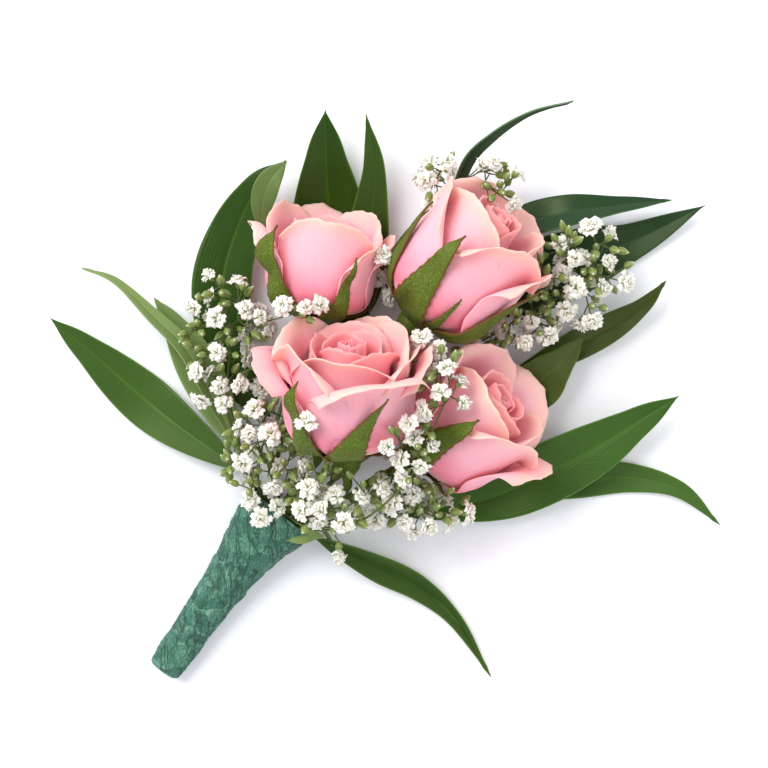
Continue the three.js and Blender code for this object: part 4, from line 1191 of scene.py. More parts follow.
@dataclass
class Leaf:
    """One blade along its midrib: half width, roll at both ends, and how far it is folded."""

    points: list[Triple]
    half_width: float
    roll_start: float = 0.0
    roll_end: float = 0.0
    fold: float = 0.22

    def grid(self, columns: int, rows: int) -> Array:
        """Return the blade's surface, pressed flat where it meets the floor.

        Args:
            columns: Steps across it.
            rows: Steps along it.
        """
        path = SmoothPath(self.points)
        side = np.linspace(-1, 1, columns + 1)[:, None]
        lines = []
        for row in range(rows + 1):
            share = row / rows
            ahead = path.ahead(share)
            level = unit(np.array([ahead[1], -ahead[0], 0.0]))
            roll = math.radians(mix(self.roll_start, self.roll_end, share))
            right = (
                level * math.cos(roll)
                + np.cross(ahead, level) * math.sin(roll)
                + ahead * float(ahead @ level) * (1 - math.cos(roll))
            )
            up = np.cross(right, ahead)
            width = max(0.35, self.half_width * math.sin(math.pi * share**0.8) ** 1.1)
            lines.append(path.at(share) + side * width * right + self.fold * np.abs(side) * width * up)
        grid = np.stack(lines, axis=1)
        grid[..., 2] = np.maximum(grid[..., 2], LEAF_THICKNESS / 2)
        return grid


@dataclass(frozen=True)
class LeafLook:
    """How a leaf differs from the plain one: how pale, its width, its fold, and its lead-in."""

    pale: float = 0.0
    slim: float = 1.0
    fold: float = 0.0
    lead: tuple[Triple, ...] = ()
    neck: float = 0.0  # share of its length over which it widens slowly


@dataclass
class LeafSprig:
    """A stem with its leaves."""

    name: str
    lane: Lane
    route: list[Triple]
    leaves: list[Leaf]

    COLUMNS = 20
    ROWS = 64
    VEIN_RELIEF = 0.02
    TIP_SHARE = 0.03
    EDGE_WAVE = 0.12

    def blade(self, build: Build, leaf: Leaf, look: LeafLook, phase: float) -> None:
        """Add one leaf with its midrib groove, raised veins and slightly waved edge.

        Args:
            build: The piece that takes the leaf.
            leaf: The leaf as the solid part has it.
            look: How it differs from that.
            phase: Where the waves of its edge start.
        """
        shaped = replace(
            leaf,
            points=[*look.lead, *leaf.points],
            half_width=leaf.half_width * look.slim,
            fold=leaf.fold + look.fold,
        )
        grid = shaped.grid(self.COLUMNS, self.ROWS)
        side = np.linspace(-1, 1, self.COLUMNS + 1)[:, None]
        share = np.linspace(0, 1, self.ROWS + 1)[None, :]
        middle = grid[self.COLUMNS // 2]
        fuller = 1 + 0.3 * smooth((share - 0.74) / 0.2)
        point = np.clip((1 - share) / self.TIP_SHARE, 0.1, 1)
        if look.neck:
            fuller = fuller * mix(0.3, 1, smooth(share / look.neck))
        grid = middle + (grid - middle) * (fuller * point)[..., None]
        wave = np.sin(11 * share + phase) + 0.6 * np.sin(23 * share + 2 * phase + 2 * side)
        lift = self.EDGE_WAVE * wave * side**2 * np.sin(np.pi * share)
        free = smooth((grid[..., 2] - 0.5) / 1.5)
        grid[..., 2] += lift * free
        veins = self.VEIN_RELIEF * np.cos(2 * np.pi * 6 * side) * np.sin(np.pi * share)
        groove = -0.12 * np.exp(-((side / 0.06) ** 2)) * np.sin(np.pi * share)
        thickness = LEAF_THICKNESS * (1.0 - 0.35 * side**2) * (0.75 + 0.25 * np.sin(np.pi * share))
        add_sheet(build, grid, thickness, tone=look.pale, relief=(veins + groove) * free)

    def piece(
        self,
        skin: Material,
        looks: Sequence[LeafLook],
        extra: Sequence[tuple[Leaf, LeafLook]] = (),
    ) -> Object:
        """Make the sprig as one piece.

        Args:
            skin: The finish of leaves and stem.
            looks: How each leaf looks.
            extra: Further blades, with their looks.
        """
        build = Build()
        line = SmoothPath([*Wrap.lane(self.lane), *self.route]).spread(50)
        add_tube(build, line, lambda s: LEAF_STEM_RADIUS * (1 - 0.25 * s), sides=12, tone=0.5)
        for i, (leaf, look) in enumerate([*zip(self.leaves, looks), *extra]):
            self.blade(build, leaf, look, 1.7 * i + len(self.name))
        made = build.piece(self.name + "_leaves", skin)
        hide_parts(self.name)
        return made


# Gypsophila


class Head(Enum):
    """What is at the end of a twig; the points of a stalk have the number 0."""

    OPEN = 1
    HALF_OPEN = 2
    BUD = 3
    BELL = 4


@dataclass
class Cluster:
    """Where heads are thrown: an ellipsoid, and how many of each it should take."""

    centre: Triple
    spread: Triple
    florets: int
    buds: int


class Obstacles:
    """Everything that heads and twigs stay clear of: points with a radius and an owner."""

    def __init__(self) -> None:
        """Start with none."""
        self.points: list[Point] = []
        self.radii: list[float] = []
        self.owners: list[str] = []

    def block(self, owner: str, points: Iterable[Point], radius: float) -> None:
        """Add points.

        Args:
            owner: Name of the node that they belong to.
            points: Where they are.
            radius: How much room each takes.
        """
        for point in points:
            self.points.append(np.asarray(point, float))
            self.radii.append(radius)
            self.owners.append(owner)

    def block_heads(self, owner: str, heads: Iterable["Twig"]) -> None:
        """Add heads and their twigs."""
        for head in heads:
            self.block(owner, [head.spot], head.radius)
            self.block(owner, [head.at(i / 6) for i in range(7)], TWIG_RADIUS)

    def seen_by(self, owner: str) -> tuple[Array, Array]:
        """Return the points and radii that an owner must stay clear of."""
        keep = [i for i, name in enumerate(self.owners) if name != owner]
        return np.array([self.points[i] for i in keep]), np.array([self.radii[i] for i in keep])


@dataclass
class Twig:
    """One head on its twig."""

    joint: Point
    neck: Point
    spot: Point
    radius: float
    size: float
    kind: Head
    facing: Point

    def at(self, share: float) -> Point:
        """Return the point at a share of the twig's length."""
        return self.joint + (self.neck - self.joint) * share


@dataclass(frozen=True)
class LoneHead:
    """A head on a long twig of its own: the twig's way, and where and how the head faces."""

    way: list[Triple]
    facing: Triple
    size: float = 1.0
    kind: Head = Head.OPEN

    def twig(self) -> Twig:
        """Return the head as the end of its twig."""
        neck = np.array(self.way[-1])
        facing = unit(np.array(self.facing))
        spot = neck + 1.5 * self.size * facing
        return Twig(np.array(self.way[0]), neck, spot, FLORET_RADIUS, self.size, self.kind, facing)


@dataclass
class Spray:
    """A gypsophila stem and the clusters of heads at its end."""

    name: str
    seed: int
    lane: Lane
    route: list[Triple]
    clusters: list[Cluster]

    TWIG_ENDS = (0.5 * TWIG_RADIUS, 0.42 * TWIG_RADIUS)  # radii, finer than the solid part's

    def stem(self) -> list[Point]:
        """Return the stem's points, as the solid part has them."""
        return SmoothPath([*Wrap.lane(self.lane), *self.route]).spread(14)

    def grow(
        self,
        obstacles: Obstacles,
        clusters: Sequence[Cluster] = (),
        grown: Sequence[Twig] = (),
        room_between: float = HEAD_CLEARANCE,
        shortest: float = 0.0,
    ) -> list[Twig]:
        """Throw heads into the clusters and keep those that touch nothing.

        Args:
            obstacles: What is there already.
            clusters: Clusters that fill in between the spray's own, if not those themselves.
            grown: Heads that the spray has already.
            room_between: Least gap to other pieces.
            shortest: Least distance from a head to the joint that its twig leaves.

        Returns:
            The new heads with their twigs, in the order in which they were kept.
        """
        random = SeededRandom(self.seed + len(grown))
        joints = self.stem()[8:] + [head.at(0.5) for head in grown]
        others, radii = obstacles.seen_by(self.name)

        def is_clear(point: Point, radius: float) -> bool:
            """Return whether a ball of this radius touches nothing."""
            away = np.linalg.norm(others - point, axis=1)
            return bool(np.all(away > radii + radius + room_between))

        heads: list[Twig] = list(grown)
        for cluster in clusters or self.clusters:
            wanted = cluster.florets + cluster.buds
            kept = 0
            for _ in range(80 * wanted):
                if kept >= wanted:
                    break
                thrown = np.array([2 * random() - 1, 2 * random() - 1, 2 * random() - 1])
                size = mix(0.85, 1.1, random())
                if np.linalg.norm(thrown) > 1:
                    continue
                is_floret = kept < cluster.florets
                radius = (FLORET_RADIUS if is_floret else BUD_RADIUS) * size
                spot = thrown * np.array(cluster.spread) + np.array(cluster.centre)
                room = 0.9 if is_floret else 1.0
                near = (np.linalg.norm(h.spot - spot) < (h.radius + radius) * room for h in heads)
                if any(near) or not is_clear(spot, radius):
                    continue
                distances = np.linalg.norm(np.array(joints) - spot, axis=1)
                far_enough = np.where(distances < shortest, np.inf, distances)
                joint = joints[int(np.argmin(far_enough))]
                facing = unit(unit(spot - joint) + np.array([0, 0, 0.5]))
                neck = spot + facing * (-1.5 if is_floret else -1.2 * radius)
                shares = (0.3, 0.5, 0.7, 0.9)
                if not all(is_clear(joint + (neck - joint) * s, TWIG_RADIUS) for s in shares):
                    continue
                half = is_floret and len(heads) % 4 == 2
                kind = Head.HALF_OPEN if half else Head.OPEN if is_floret else Head.BUD
                heads.append(Twig(joint, neck, spot, radius, size, kind, facing))
                if np.linalg.norm(spot - joint) > 2.5:
                    joints.append(joint + (neck - joint) * 0.5)
                kept += 1
        return heads[len(grown) :]

    def piece(self, heads: list[Twig], lone: Sequence[LoneHead], tree: "SprayTree") -> Object:
        """Make the spray as one piece.

        Args:
            heads: Its heads.
            lone: Heads on long twigs of their own.
            tree: The node tree that makes stalks and heads from lines and points.
        """
        path = SmoothPath([*Wrap.lane(self.lane), *self.route])
        lines = [(path.spread(60), 0.8 * SPRAY_STEM_RADIUS, 0.4 * SPRAY_STEM_RADIUS)]
        twigs = [SmoothPath(head.way).spread(14) for head in lone]
        for i, head in enumerate(heads):
            bend = unit(np.cross(head.neck - head.joint, [math.sin(i), math.cos(i), 0.3])) * 0.25
            points = [head.at(s) + bend * math.sin(math.pi * s) for s in np.linspace(0, 1.0, 7)]
            lines.append((points, *self.TWIG_ENDS))
        lines += [(twig, *self.TWIG_ENDS) for twig in twigs]
        made = tree.grow(self.name + "_heads", lines, heads + [head.twig() for head in lone])
        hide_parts(self.name)
        return made


class NodeTree:
    """What the geometry node trees share: named inputs, and a run that gives a plain mesh."""

    def __init__(self, name: str, **inputs: Iterable[str]) -> None:
        """Start a tree.

        Args:
            name: Its name.
            inputs: The named inputs of each kind of socket: Object, Material or Int.
        """
        self.tree = bpy.data.node_groups.new(name, "GeometryNodeTree")
        self.node: NodeMaker = partial(add_node, self.tree)
        add = partial(self.tree.interface.new_socket, in_out="INPUT")
        add(name="Geometry", socket_type="NodeSocketGeometry")
        self.sockets: dict[str, str] = {
            label: add(name=label, socket_type="NodeSocket" + kind).identifier
            for kind, labels in inputs.items()
            for label in labels
        }
        add(name="Geometry", in_out="OUTPUT", socket_type="NodeSocketGeometry")
        self.given = self.tree.nodes.new("NodeGroupInput").outputs
        self.result = self.tree.nodes.new("NodeGroupOutput").inputs

    def placed(self, points: Socket, master: str, **only: Socket) -> Socket:
        """Put copies of a master object on the points, or only on those of a Selection.

        Args:
            points: The points, whose attributes say how each copy is sized and turned.
            master: The named input that holds the master.
            only: The Selection, if any.

        Returns:
            The copies.
        """
        info = self.node(
            "GeometryNodeObjectInfo", inputs={"Object": self.given[master]}, output="Geometry"
        )
        size, angle, aim = (
            self.node("GeometryNodeInputNamedAttribute", {"data_type": kind}, {"Name": name})
            for name, kind in (("size", "FLOAT"), ("turn", "FLOAT"), ("facing", "FLOAT_VECTOR"))
        )
        facing = self.node("FunctionNodeAlignRotationToVector", {"axis": "Z"}, {"Vector": aim})
        turn = self.node("FunctionNodeAxisAngleToRotation", inputs={"Angle": angle})
        turned = self.node(
            "FunctionNodeRotateRotation",
            {"rotation_space": "LOCAL"},
            {"Rotation": facing, "Rotate By": turn},
        )
        inputs = {"Points": points, "Instance": info, "Rotation": turned, "Scale": size}
        return self.node("GeometryNodeInstanceOnPoints", inputs=inputs | only)

    def run(self, made: Object, values: dict[str, Any]) -> None:
        """Replace an object's mesh by what the tree makes of it.

        Args:
            made: The object.
            values: Values of the named inputs.
        """
        modifier = made.modifiers.new("nodes", "NODES")
        modifier.node_group = self.tree
        for label, value in values.items():
            modifier[self.sockets[label]] = value
        made.update_tag()
        graph = bpy.context.evaluated_depsgraph_get()
        mesh = bpy.data.meshes.new_from_object(made.evaluated_get(graph))
        made.modifiers.remove(modifier)
        made.data = mesh


def hidden(name: str, build: Build) -> Object:
    """Make a master object that is only copied, and isn't linked to the scene."""
    return bpy.data.objects.new(name, build.mesh(name, shift=False))


def point_object(name: str, points: Array, edges: list[tuple[int, int]], **values: Any) -> Object:
    """Make an object of points and lines with the attributes that a node tree reads.

    Args:
        name: Its name.
        points: Places, in millimetres.
        edges: Lines between points.
        values: For each attribute, one number or one direction per point.

    Returns:
        The object, linked to the scene.
    """
    mesh = bpy.data.meshes.new(name)
    mesh.from_pydata(((points + FRAME_SHIFT) * MM).tolist(), edges, [])
    for label, given in values.items():
        array = np.asarray(given, np.float32)
        kind, key = ("FLOAT_VECTOR", "vector") if array.ndim == 2 else ("FLOAT", "value")
        mesh.attributes.new(label, kind, "POINT").data.foreach_set(key, array.ravel())
    return linked(name, mesh)


class SprayTree(NodeTree):
    """Makes stalks from lines, and puts florets and buds on points."""

    STALK_SIDES = 6
    PETAL_THICKNESS = 0.13
    GREEN_FROM = 0.3  # tone from which a face has the stalk's finish
    HEADS: ClassVar[dict[Head, str]] = {
        Head.OPEN: "Open floret",
        Head.HALF_OPEN: "Half-open floret",
        Head.BUD: "Bud",
        Head.BELL: "Bell",
    }

    def __init__(self, petal: Material, stalk: Material) -> None:
        """Build the tree and the four heads that it copies.

        Args:
            petal: Finish of the petals.
            stalk: Finish of stalks, cups and buds.
        """
        super().__init__(
            "gypsophila_spray",
            Object=self.HEADS.values(),
            Int=["Stalk sides"],
            Material=["Petal finish", "Stalk finish"],
        )
        self.values = {
            "Open floret": hidden("open_floret", self.floret(1.0, 6, 31)),
            "Half-open floret": hidden("half_open_floret", self.floret(0.62, 5, 47)),
            "Bud": hidden("bud", self.bud()),
            "Bell": hidden("bell", self.floret(0.0, 5, 53)),
            "Stalk sides": self.STALK_SIDES,
            "Petal finish": petal,
            "Stalk finish": stalk,
        }
        self.wire()

    @staticmethod
    def floret(openness: float, count: int, seed: int) -> Build:
        """Make a double floret that faces +Z: a green cup and four whorls of ragged petals.

        Args:
            openness: How far the petals spread, 1 for all the way.
            count: Petals in the outer whorl.
            seed: Seed of the petals' unevenness.
        """
        build = Build()
        random = SeededRandom(seed)
        cup = [(0.16, -1.7), (0.42, -1.5), (0.66, -1.0), (0.74, -0.5), (0.6, -0.2), (0.2, -0.1)]
        add_rings(build, turned_rings(cup, 8), tone=1.0)
        # Reach, height and half width of the petals in each whorl from the outside in
        whorls = ((2.75, 0.1, 0.88), (2.15, 0.75, 0.8), (1.5, 1.25, 0.68), (0.8, 1.5, 0.5))
        for k, (reach, top, wide) in enumerate(whorls):
            petals = 3 if k == 3 else count + 1 - k
            for i in range(petals):
                turn = math.tau * (i + 0.5 * k) / petals + mix(-0.28, 0.28, random())
                far = reach * mix(0.8, 1.08, random()) * mix(0.55, 1.0, openness)
                rise = top + mix(-0.4, 0.45, random()) + 1.2 * (1 - openness)
                width = wide * mix(0.85, 1.1, random())
                share = np.array([0.0, 0.3, 0.6, 0.85, 1.0])[None, :]
                side = np.linspace(-1, 1, 5)[:, None]
                notch = np.array([-0.36, -0.03, -0.14, -0.01, -0.32])[:, None]
                notch = notch * smooth((share - 0.6) / 0.4) * mix(0.6, 1.3, random())
                out = 0.2 + (far - 0.2) * share * (1 + notch)
                half = width * (0.15 + 0.85 * smooth(share / 0.8))
                curl = 0.3 * np.sin(2.9 * side + turn * 3 + k) * share**2
                height = -0.3 + (rise + 0.3) * smooth(share / 0.8) - 0.45 * share**4 + curl
                x, y = out, side * half
                cos, sin = math.cos(turn), math.sin(turn)
                grid = np.stack([x * cos - y * sin, x * sin + y * cos, height], axis=-1)
                add_sheet(build, grid[::-1], SprayTree.PETAL_THICKNESS)
        return build

    @staticmethod
    def bud() -> Build:
        """Make a round bud that faces +Z: a ribbed green cup with a white tip."""
        build = Build()
        sides = 15
        profile = [(0.18, -1.2), (0.55, -1.0), (0.8, -0.5), (0.84, 0.1), (0.68, 0.7), (0.44, 1.1)]
        crown = [(0.2, 1.4), (0.04, 1.62)]
        stripes = 0.7 + 0.3 * np.cos(10 * np.pi * np.arange(sides) / sides)
        tone = np.concatenate([stripes] * len(profile) + [0.0 * stripes] * len(crown))
        rings = turned_rings([*profile, *crown], sides, ribs=0.07)
        add_rings(build, rings, [0.16] * len(rings), tone)
        return build

    def wire(self) -> None:
        """Link the nodes."""
        points = self.given["Geometry"]
        thick, kinds, tone = (
            self.node("GeometryNodeInputNamedAttribute", {"data_type": "FLOAT"}, {"Name": name})
            for name in ("thick", "kind", "tone")
        )
        line = self.node("GeometryNodeMeshToCurve", inputs={"Mesh": points})
        inputs = {"Resolution": self.given["Stalk sides"], "Radius": 1.0}
        circle = self.node("GeometryNodeCurvePrimitiveCircle", inputs=inputs)
        inputs = {"Curve": line, "Profile Curve": circle, "Scale": thick, "Fill Caps": True}
        tubes = self.node("GeometryNodeCurveToMesh", inputs=inputs)
        green = {"Material": self.given["Stalk finish"]}
        stalks = self.node("GeometryNodeSetMaterial", inputs=green | {"Geometry": tubes})
        copies = []
        for kind, label in self.HEADS.items():
            chosen = self.node(
                "FunctionNodeCompare",
                {"data_type": "FLOAT", "operation": "EQUAL"},
                {"A": kinds, "B": float(kind.value), "Epsilon": 0.1},
            )
            copies.append(self.placed(points, label, Selection=chosen))
        heads = self.node("GeometryNodeJoinGeometry", inputs={0: copies})
        real = self.node("GeometryNodeRealizeInstances", inputs={"Geometry": heads})
        inputs = {"Geometry": real, "Material": self.given["Petal finish"]}
        white = self.node("GeometryNodeSetMaterial", inputs=inputs)
        is_green = self.node(
            "FunctionNodeCompare",
            {"data_type": "FLOAT", "operation": "GREATER_THAN"},
            {"A": tone, "B": self.GREEN_FROM},
        )
        inputs = green | {"Geometry": white, "Selection": is_green}
        cups = self.node("GeometryNodeSetMaterial", inputs=inputs)
        whole = self.node("GeometryNodeJoinGeometry", inputs={0: [cups, stalks]})
        soft = self.node("GeometryNodeSetShadeSmooth", inputs={"Geometry": whole})
        self.tree.links.new(soft, self.result[0])

    def grow(self, name: str, lines: list[tuple[list[Point], float, float]], heads: list[Twig]) -> Object:
        """Make one spray.

        Args:
            name: Name of the piece.
            lines: Middle line of each stalk, with its radius at both ends.
            heads: The heads.

        Returns:
            The finished piece.
        """
        points: list[Point] = []
        edges: list[tuple[int, int]] = []
        thick: list[float] = []
        for line, start, end in lines:
            first = len(points)
            edges += [(first + i, first + i + 1) for i in range(len(line) - 1)]
            thick += [mix(start, end, i / (len(line) - 1)) * MM for i in range(len(line))]
            points += list(line)
        none = [0.0] * len(points)
        made = point_object(
            name,
            np.array(points + [head.spot for head in heads]),
            edges,
            thick=thick + [0.0] * len(heads),
            kind=none + [float(head.kind.value) for head in heads],
            size=none + [head.size for head in heads],
            turn=none + [2.4 * i for i in range(len(heads))],
            facing=[np.array([0.0, 0, 1])] * len(points) + [head.facing for head in heads],
        )
        self.run(made, self.values)
        return made


class HairTree(NodeTree):
    """Puts fine bristles on the edges of the sepals."""

    LENGTH = 0.75
    THICK = 0.05

    def __init__(self) -> None:
        """Build the tree and the bristle that it copies."""
        super().__init__("sepal_hairs", Object=["Places", "Hair"], Material=["Hair finish"])
        build = Build()
        profile = [(self.THICK, 0.0), (0.6 * self.THICK, 0.5 * self.LENGTH), (0.01, self.LENGTH)]
        add_rings(build, turned_rings(profile, 3), tone=1.0)
        self.master = hidden("hair", build)
        self.random = SeededRandom(77)
        self.spots: list[Point] = []
        self.facing: list[Point] = []
        places = self.node(
            "GeometryNodeObjectInfo", inputs={"Object": self.given["Places"]}, output="Geometry"
        )
        copies = self.placed(places, "Hair")
        real = self.node("GeometryNodeRealizeInstances", inputs={"Geometry": copies})
        inputs = {"Geometry": real, "Material": self.given["Hair finish"]}
        brown = self.node("GeometryNodeSetMaterial", inputs=inputs)
        both = [brown, self.given["Geometry"]]
        whole = self.node("GeometryNodeJoinGeometry", inputs={0: both})
        self.tree.links.new(whole, self.result[0])

    def edge(self, grid: Array) -> None:
        """Add places for bristles along both edges of a sepal."""
        rows = grid.shape[1]
        for last, inner in ((0, 1), (-1, -2)):
            for row in range(int(0.12 * rows), rows - 1):
                for _ in range(2):
                    share = self.random()
                    here = grid[last, row] * (1 - share) + grid[last, row + 1] * share
                    out = unit(grid[last, row] - grid[inner, row])
                    ahead = unit(grid[last, row + 1] - grid[last, row])
                    lean = mix(-0.2, 0.9, self.random())
                    jitter = np.array([self.random() - 0.5 for _ in range(3)])
                    self.spots.append(here - 0.05 * out)
                    self.facing.append(unit(out + lean * ahead + 0.5 * jitter))

    def grow_on(self, solid: Object, finish: Material) -> None:
        """Grow the gathered bristles on a piece.

        Args:
            solid: The piece, whose mesh is replaced.
            finish: Their material.
        """
        places = point_object(
            "hair_places",
            np.array(self.spots),
            [],
            size=[mix(0.5, 1.1, self.random()) for _ in self.spots],
            turn=[6.3 * self.random() for _ in self.spots],
            facing=self.facing,
        )
        self.run(solid, {"Places": places, "Hair": self.master, "Hair finish": finish})
        bpy.data.objects.remove(places)
        self.spots, self.facing = [], []


# The pieces as they lie in this boutonniere

ROSES: list[Rose] = [
    Rose(
        "rose_1", (-15.0, 16.7, 11.9), (0.13, 0.93, 0.22),
        Whorl(8, 70, (1.3, 7.2), (20, 23), (-6, -2), (-14, 6), (4.5, 10), (0, 20), 5),
        [
            Petal(2, 10.4, 25, 13, 0, 16, 22, phase=1, tip=0),
            Petal(130, 9.9, 24.5, 12, 0, 14, 30, phase=2),
            Petal(240, 11.0, 24.5, 12, 0, 15, 30),
            Petal(62, 11.2, 19.5, 8, 2, 30, 25),
            Petal(190, 11.7, 24, 11, 4, 40, 45),
            Petal(276, 11.9, 23, 9, 6, 95, 25),
            Petal(100, 11.4, 21, 8, 6, 45, 25),
        ],
        [
            Sepal(304, 128, 3.2, 0.6, -14),
            Sepal(24, 114, 2.6, 0.8, 6),
            Sepal(104, 95, 3.0, 0.5),
            Sepal(180, 48, 2.8, 0),
            Sepal(236, 60, 2.8, 0),
        ],
        Lane(0.12, (-1.2, -1.2), (-3.9, -0.9)),
        [(-23.5, -12, 6.5), (-18.5, 2, 8.8)],
    ),
    Rose(
        "rose_2", (-8.2, -12.0, 21.6), (0.02, 0.91, 0.41),
        Whorl(10, 20, (1.3, 9.0), (25.5, 28), (-6, -2), (-14, 20), (5, 12), (0, 35), 3),
        [
            Petal(350, 10.2, 29.5, 15, 0, 46, 25, phase=1, spiral=0.6, tip=0),
            Petal(120, 10.9, 28.5, 14, -1, 22, 35, phase=2, spiral=0.6),
            Petal(235, 11.6, 29, 14, 2, 30, 40, spiral=0.6),
            Petal(310, 12.2, 30, 11.5, 3, 40, 35, phase=0.4, spiral=0.6, tip=1.8),
            Petal(75, 12.0, 27.5, 12.5, 2, 35, 30, phase=2.2, spiral=0.6),
            Petal(205, 12.0, 25, 14, 1, 10, 20, phase=1.2, spiral=0.6),
            Petal(26, 13.2, 28, 16, 5, 92, 20, phase=5.2, spiral=0.6, tip=0),
            Petal(272, 13.6, 28.5, 12.5, 12, 100, 10, phase=4.2, spiral=0.4),
            Petal(150, 12.9, 27.5, 13, 1, 18, 25, phase=4.2, spiral=0.4),
            Petal(90, 13.5, 27, 11, 6, 50, 20, phase=4.2, spiral=0.4),
        ],
        [
            Sepal(322, 126, 3.2, 0.6, -6),
            Sepal(340, 66, 1.4, 0.8),
            Sepal(350, 118, 5.0, 0.8, 38),
            Sepal(62, 84, 1.6, 0.4, 6),
            Sepal(172, 70, 3.2, 0.2),
            Sepal(240, 80, 3.2, 0.3),
        ],
        Lane(0.12, (-1.2, 1.2), (0.2, 2.2)),
        [(-17, -25.8, 10.2), (-11, -23.2, 11.8)],
    ),
    Rose(
        "rose_3", (7.2, 16.6, 13.2), (0.6, 0.71, 0.33),
        Whorl(8, 10, (1.4, 7.6), (30, 33), (-13, -11), (-14, -4), (4.5, 11), (0, 15), 7),
        [
            Petal(330, 10.8, 33, 15, -8, 6, 40, phase=1, tip=1),
            Petal(100, 11.3, 33, 13, -8, 3, 38, phase=2),
            Petal(215, 11.8, 33, 14.5, -8, 5, 45),
            Petal(40, 12.9, 31.5, 13.5, -5, 20, 50),
            Petal(160, 13.3, 32, 13.5, -4, 18, 45),
            Petal(280, 12.6, 31, 13.5, -5, 15, 35),
            Petal(80, 14.0, 29, 11, 0, 32, 35),
        ],
        [
            Sepal(302, 134, 3.2, 0.4, -12),
            Sepal(346, 140, 5.2, 0.6),
            Sepal(20, 104, 1.4, 0.8),
            Sepal(46, 128, 4.2, 0.3, 24),
            Sepal(130, 60, 3.6, 0),
            Sepal(205, 80, 4.0, 0.3),
        ],
        Lane(0.12, (1.2, -1.2), (0, -1.7)),
        [(-12, -10, 5.6), (-3.5, 2, 6.8)],
    ),
    Rose(
        "rose_4", (7.7, -13.4, 10.5), (0.76, 0.5, 0.42),
        Whorl(8, 140, (1.3, 7.6), (24.5, 28), (-9, -7), (-14, 6), (4.5, 11), (0, 20), 9),
        [
            Petal(350, 10.2, 28, 15, -5, 12, 20, phase=1, tip=0),
            Petal(110, 10.3, 28, 12, -6, 8, 34, phase=2),
            Petal(225, 11.6, 28.5, 13.5, -4, 15, 45),
            Petal(50, 12.2, 28.5, 12.5, 0, 28, 45),
            Petal(170, 12.5, 29, 13.5, 0, 36, 30),
            Petal(285, 11.6, 25, 9.5, 1, 30, 30),
            Petal(95, 13.0, 26.5, 10, 14, 60, 15),
        ],
        [
            Sepal(354, 133, 5.6, 0.8, 8),
            Sepal(284, 80, 3.0, 0.2),
            Sepal(62, 60, 3.0, 0.4),
            Sepal(128, 60, 3.2, 0),
            Sepal(205, 48, 3.0, 0),
        ],
        Lane(0.12, (1.2, 1.2), (3.6, -0.4)),
        [(-12, -26.2, 7.2), (-4, -20.5, 7.2)],
    ),
]

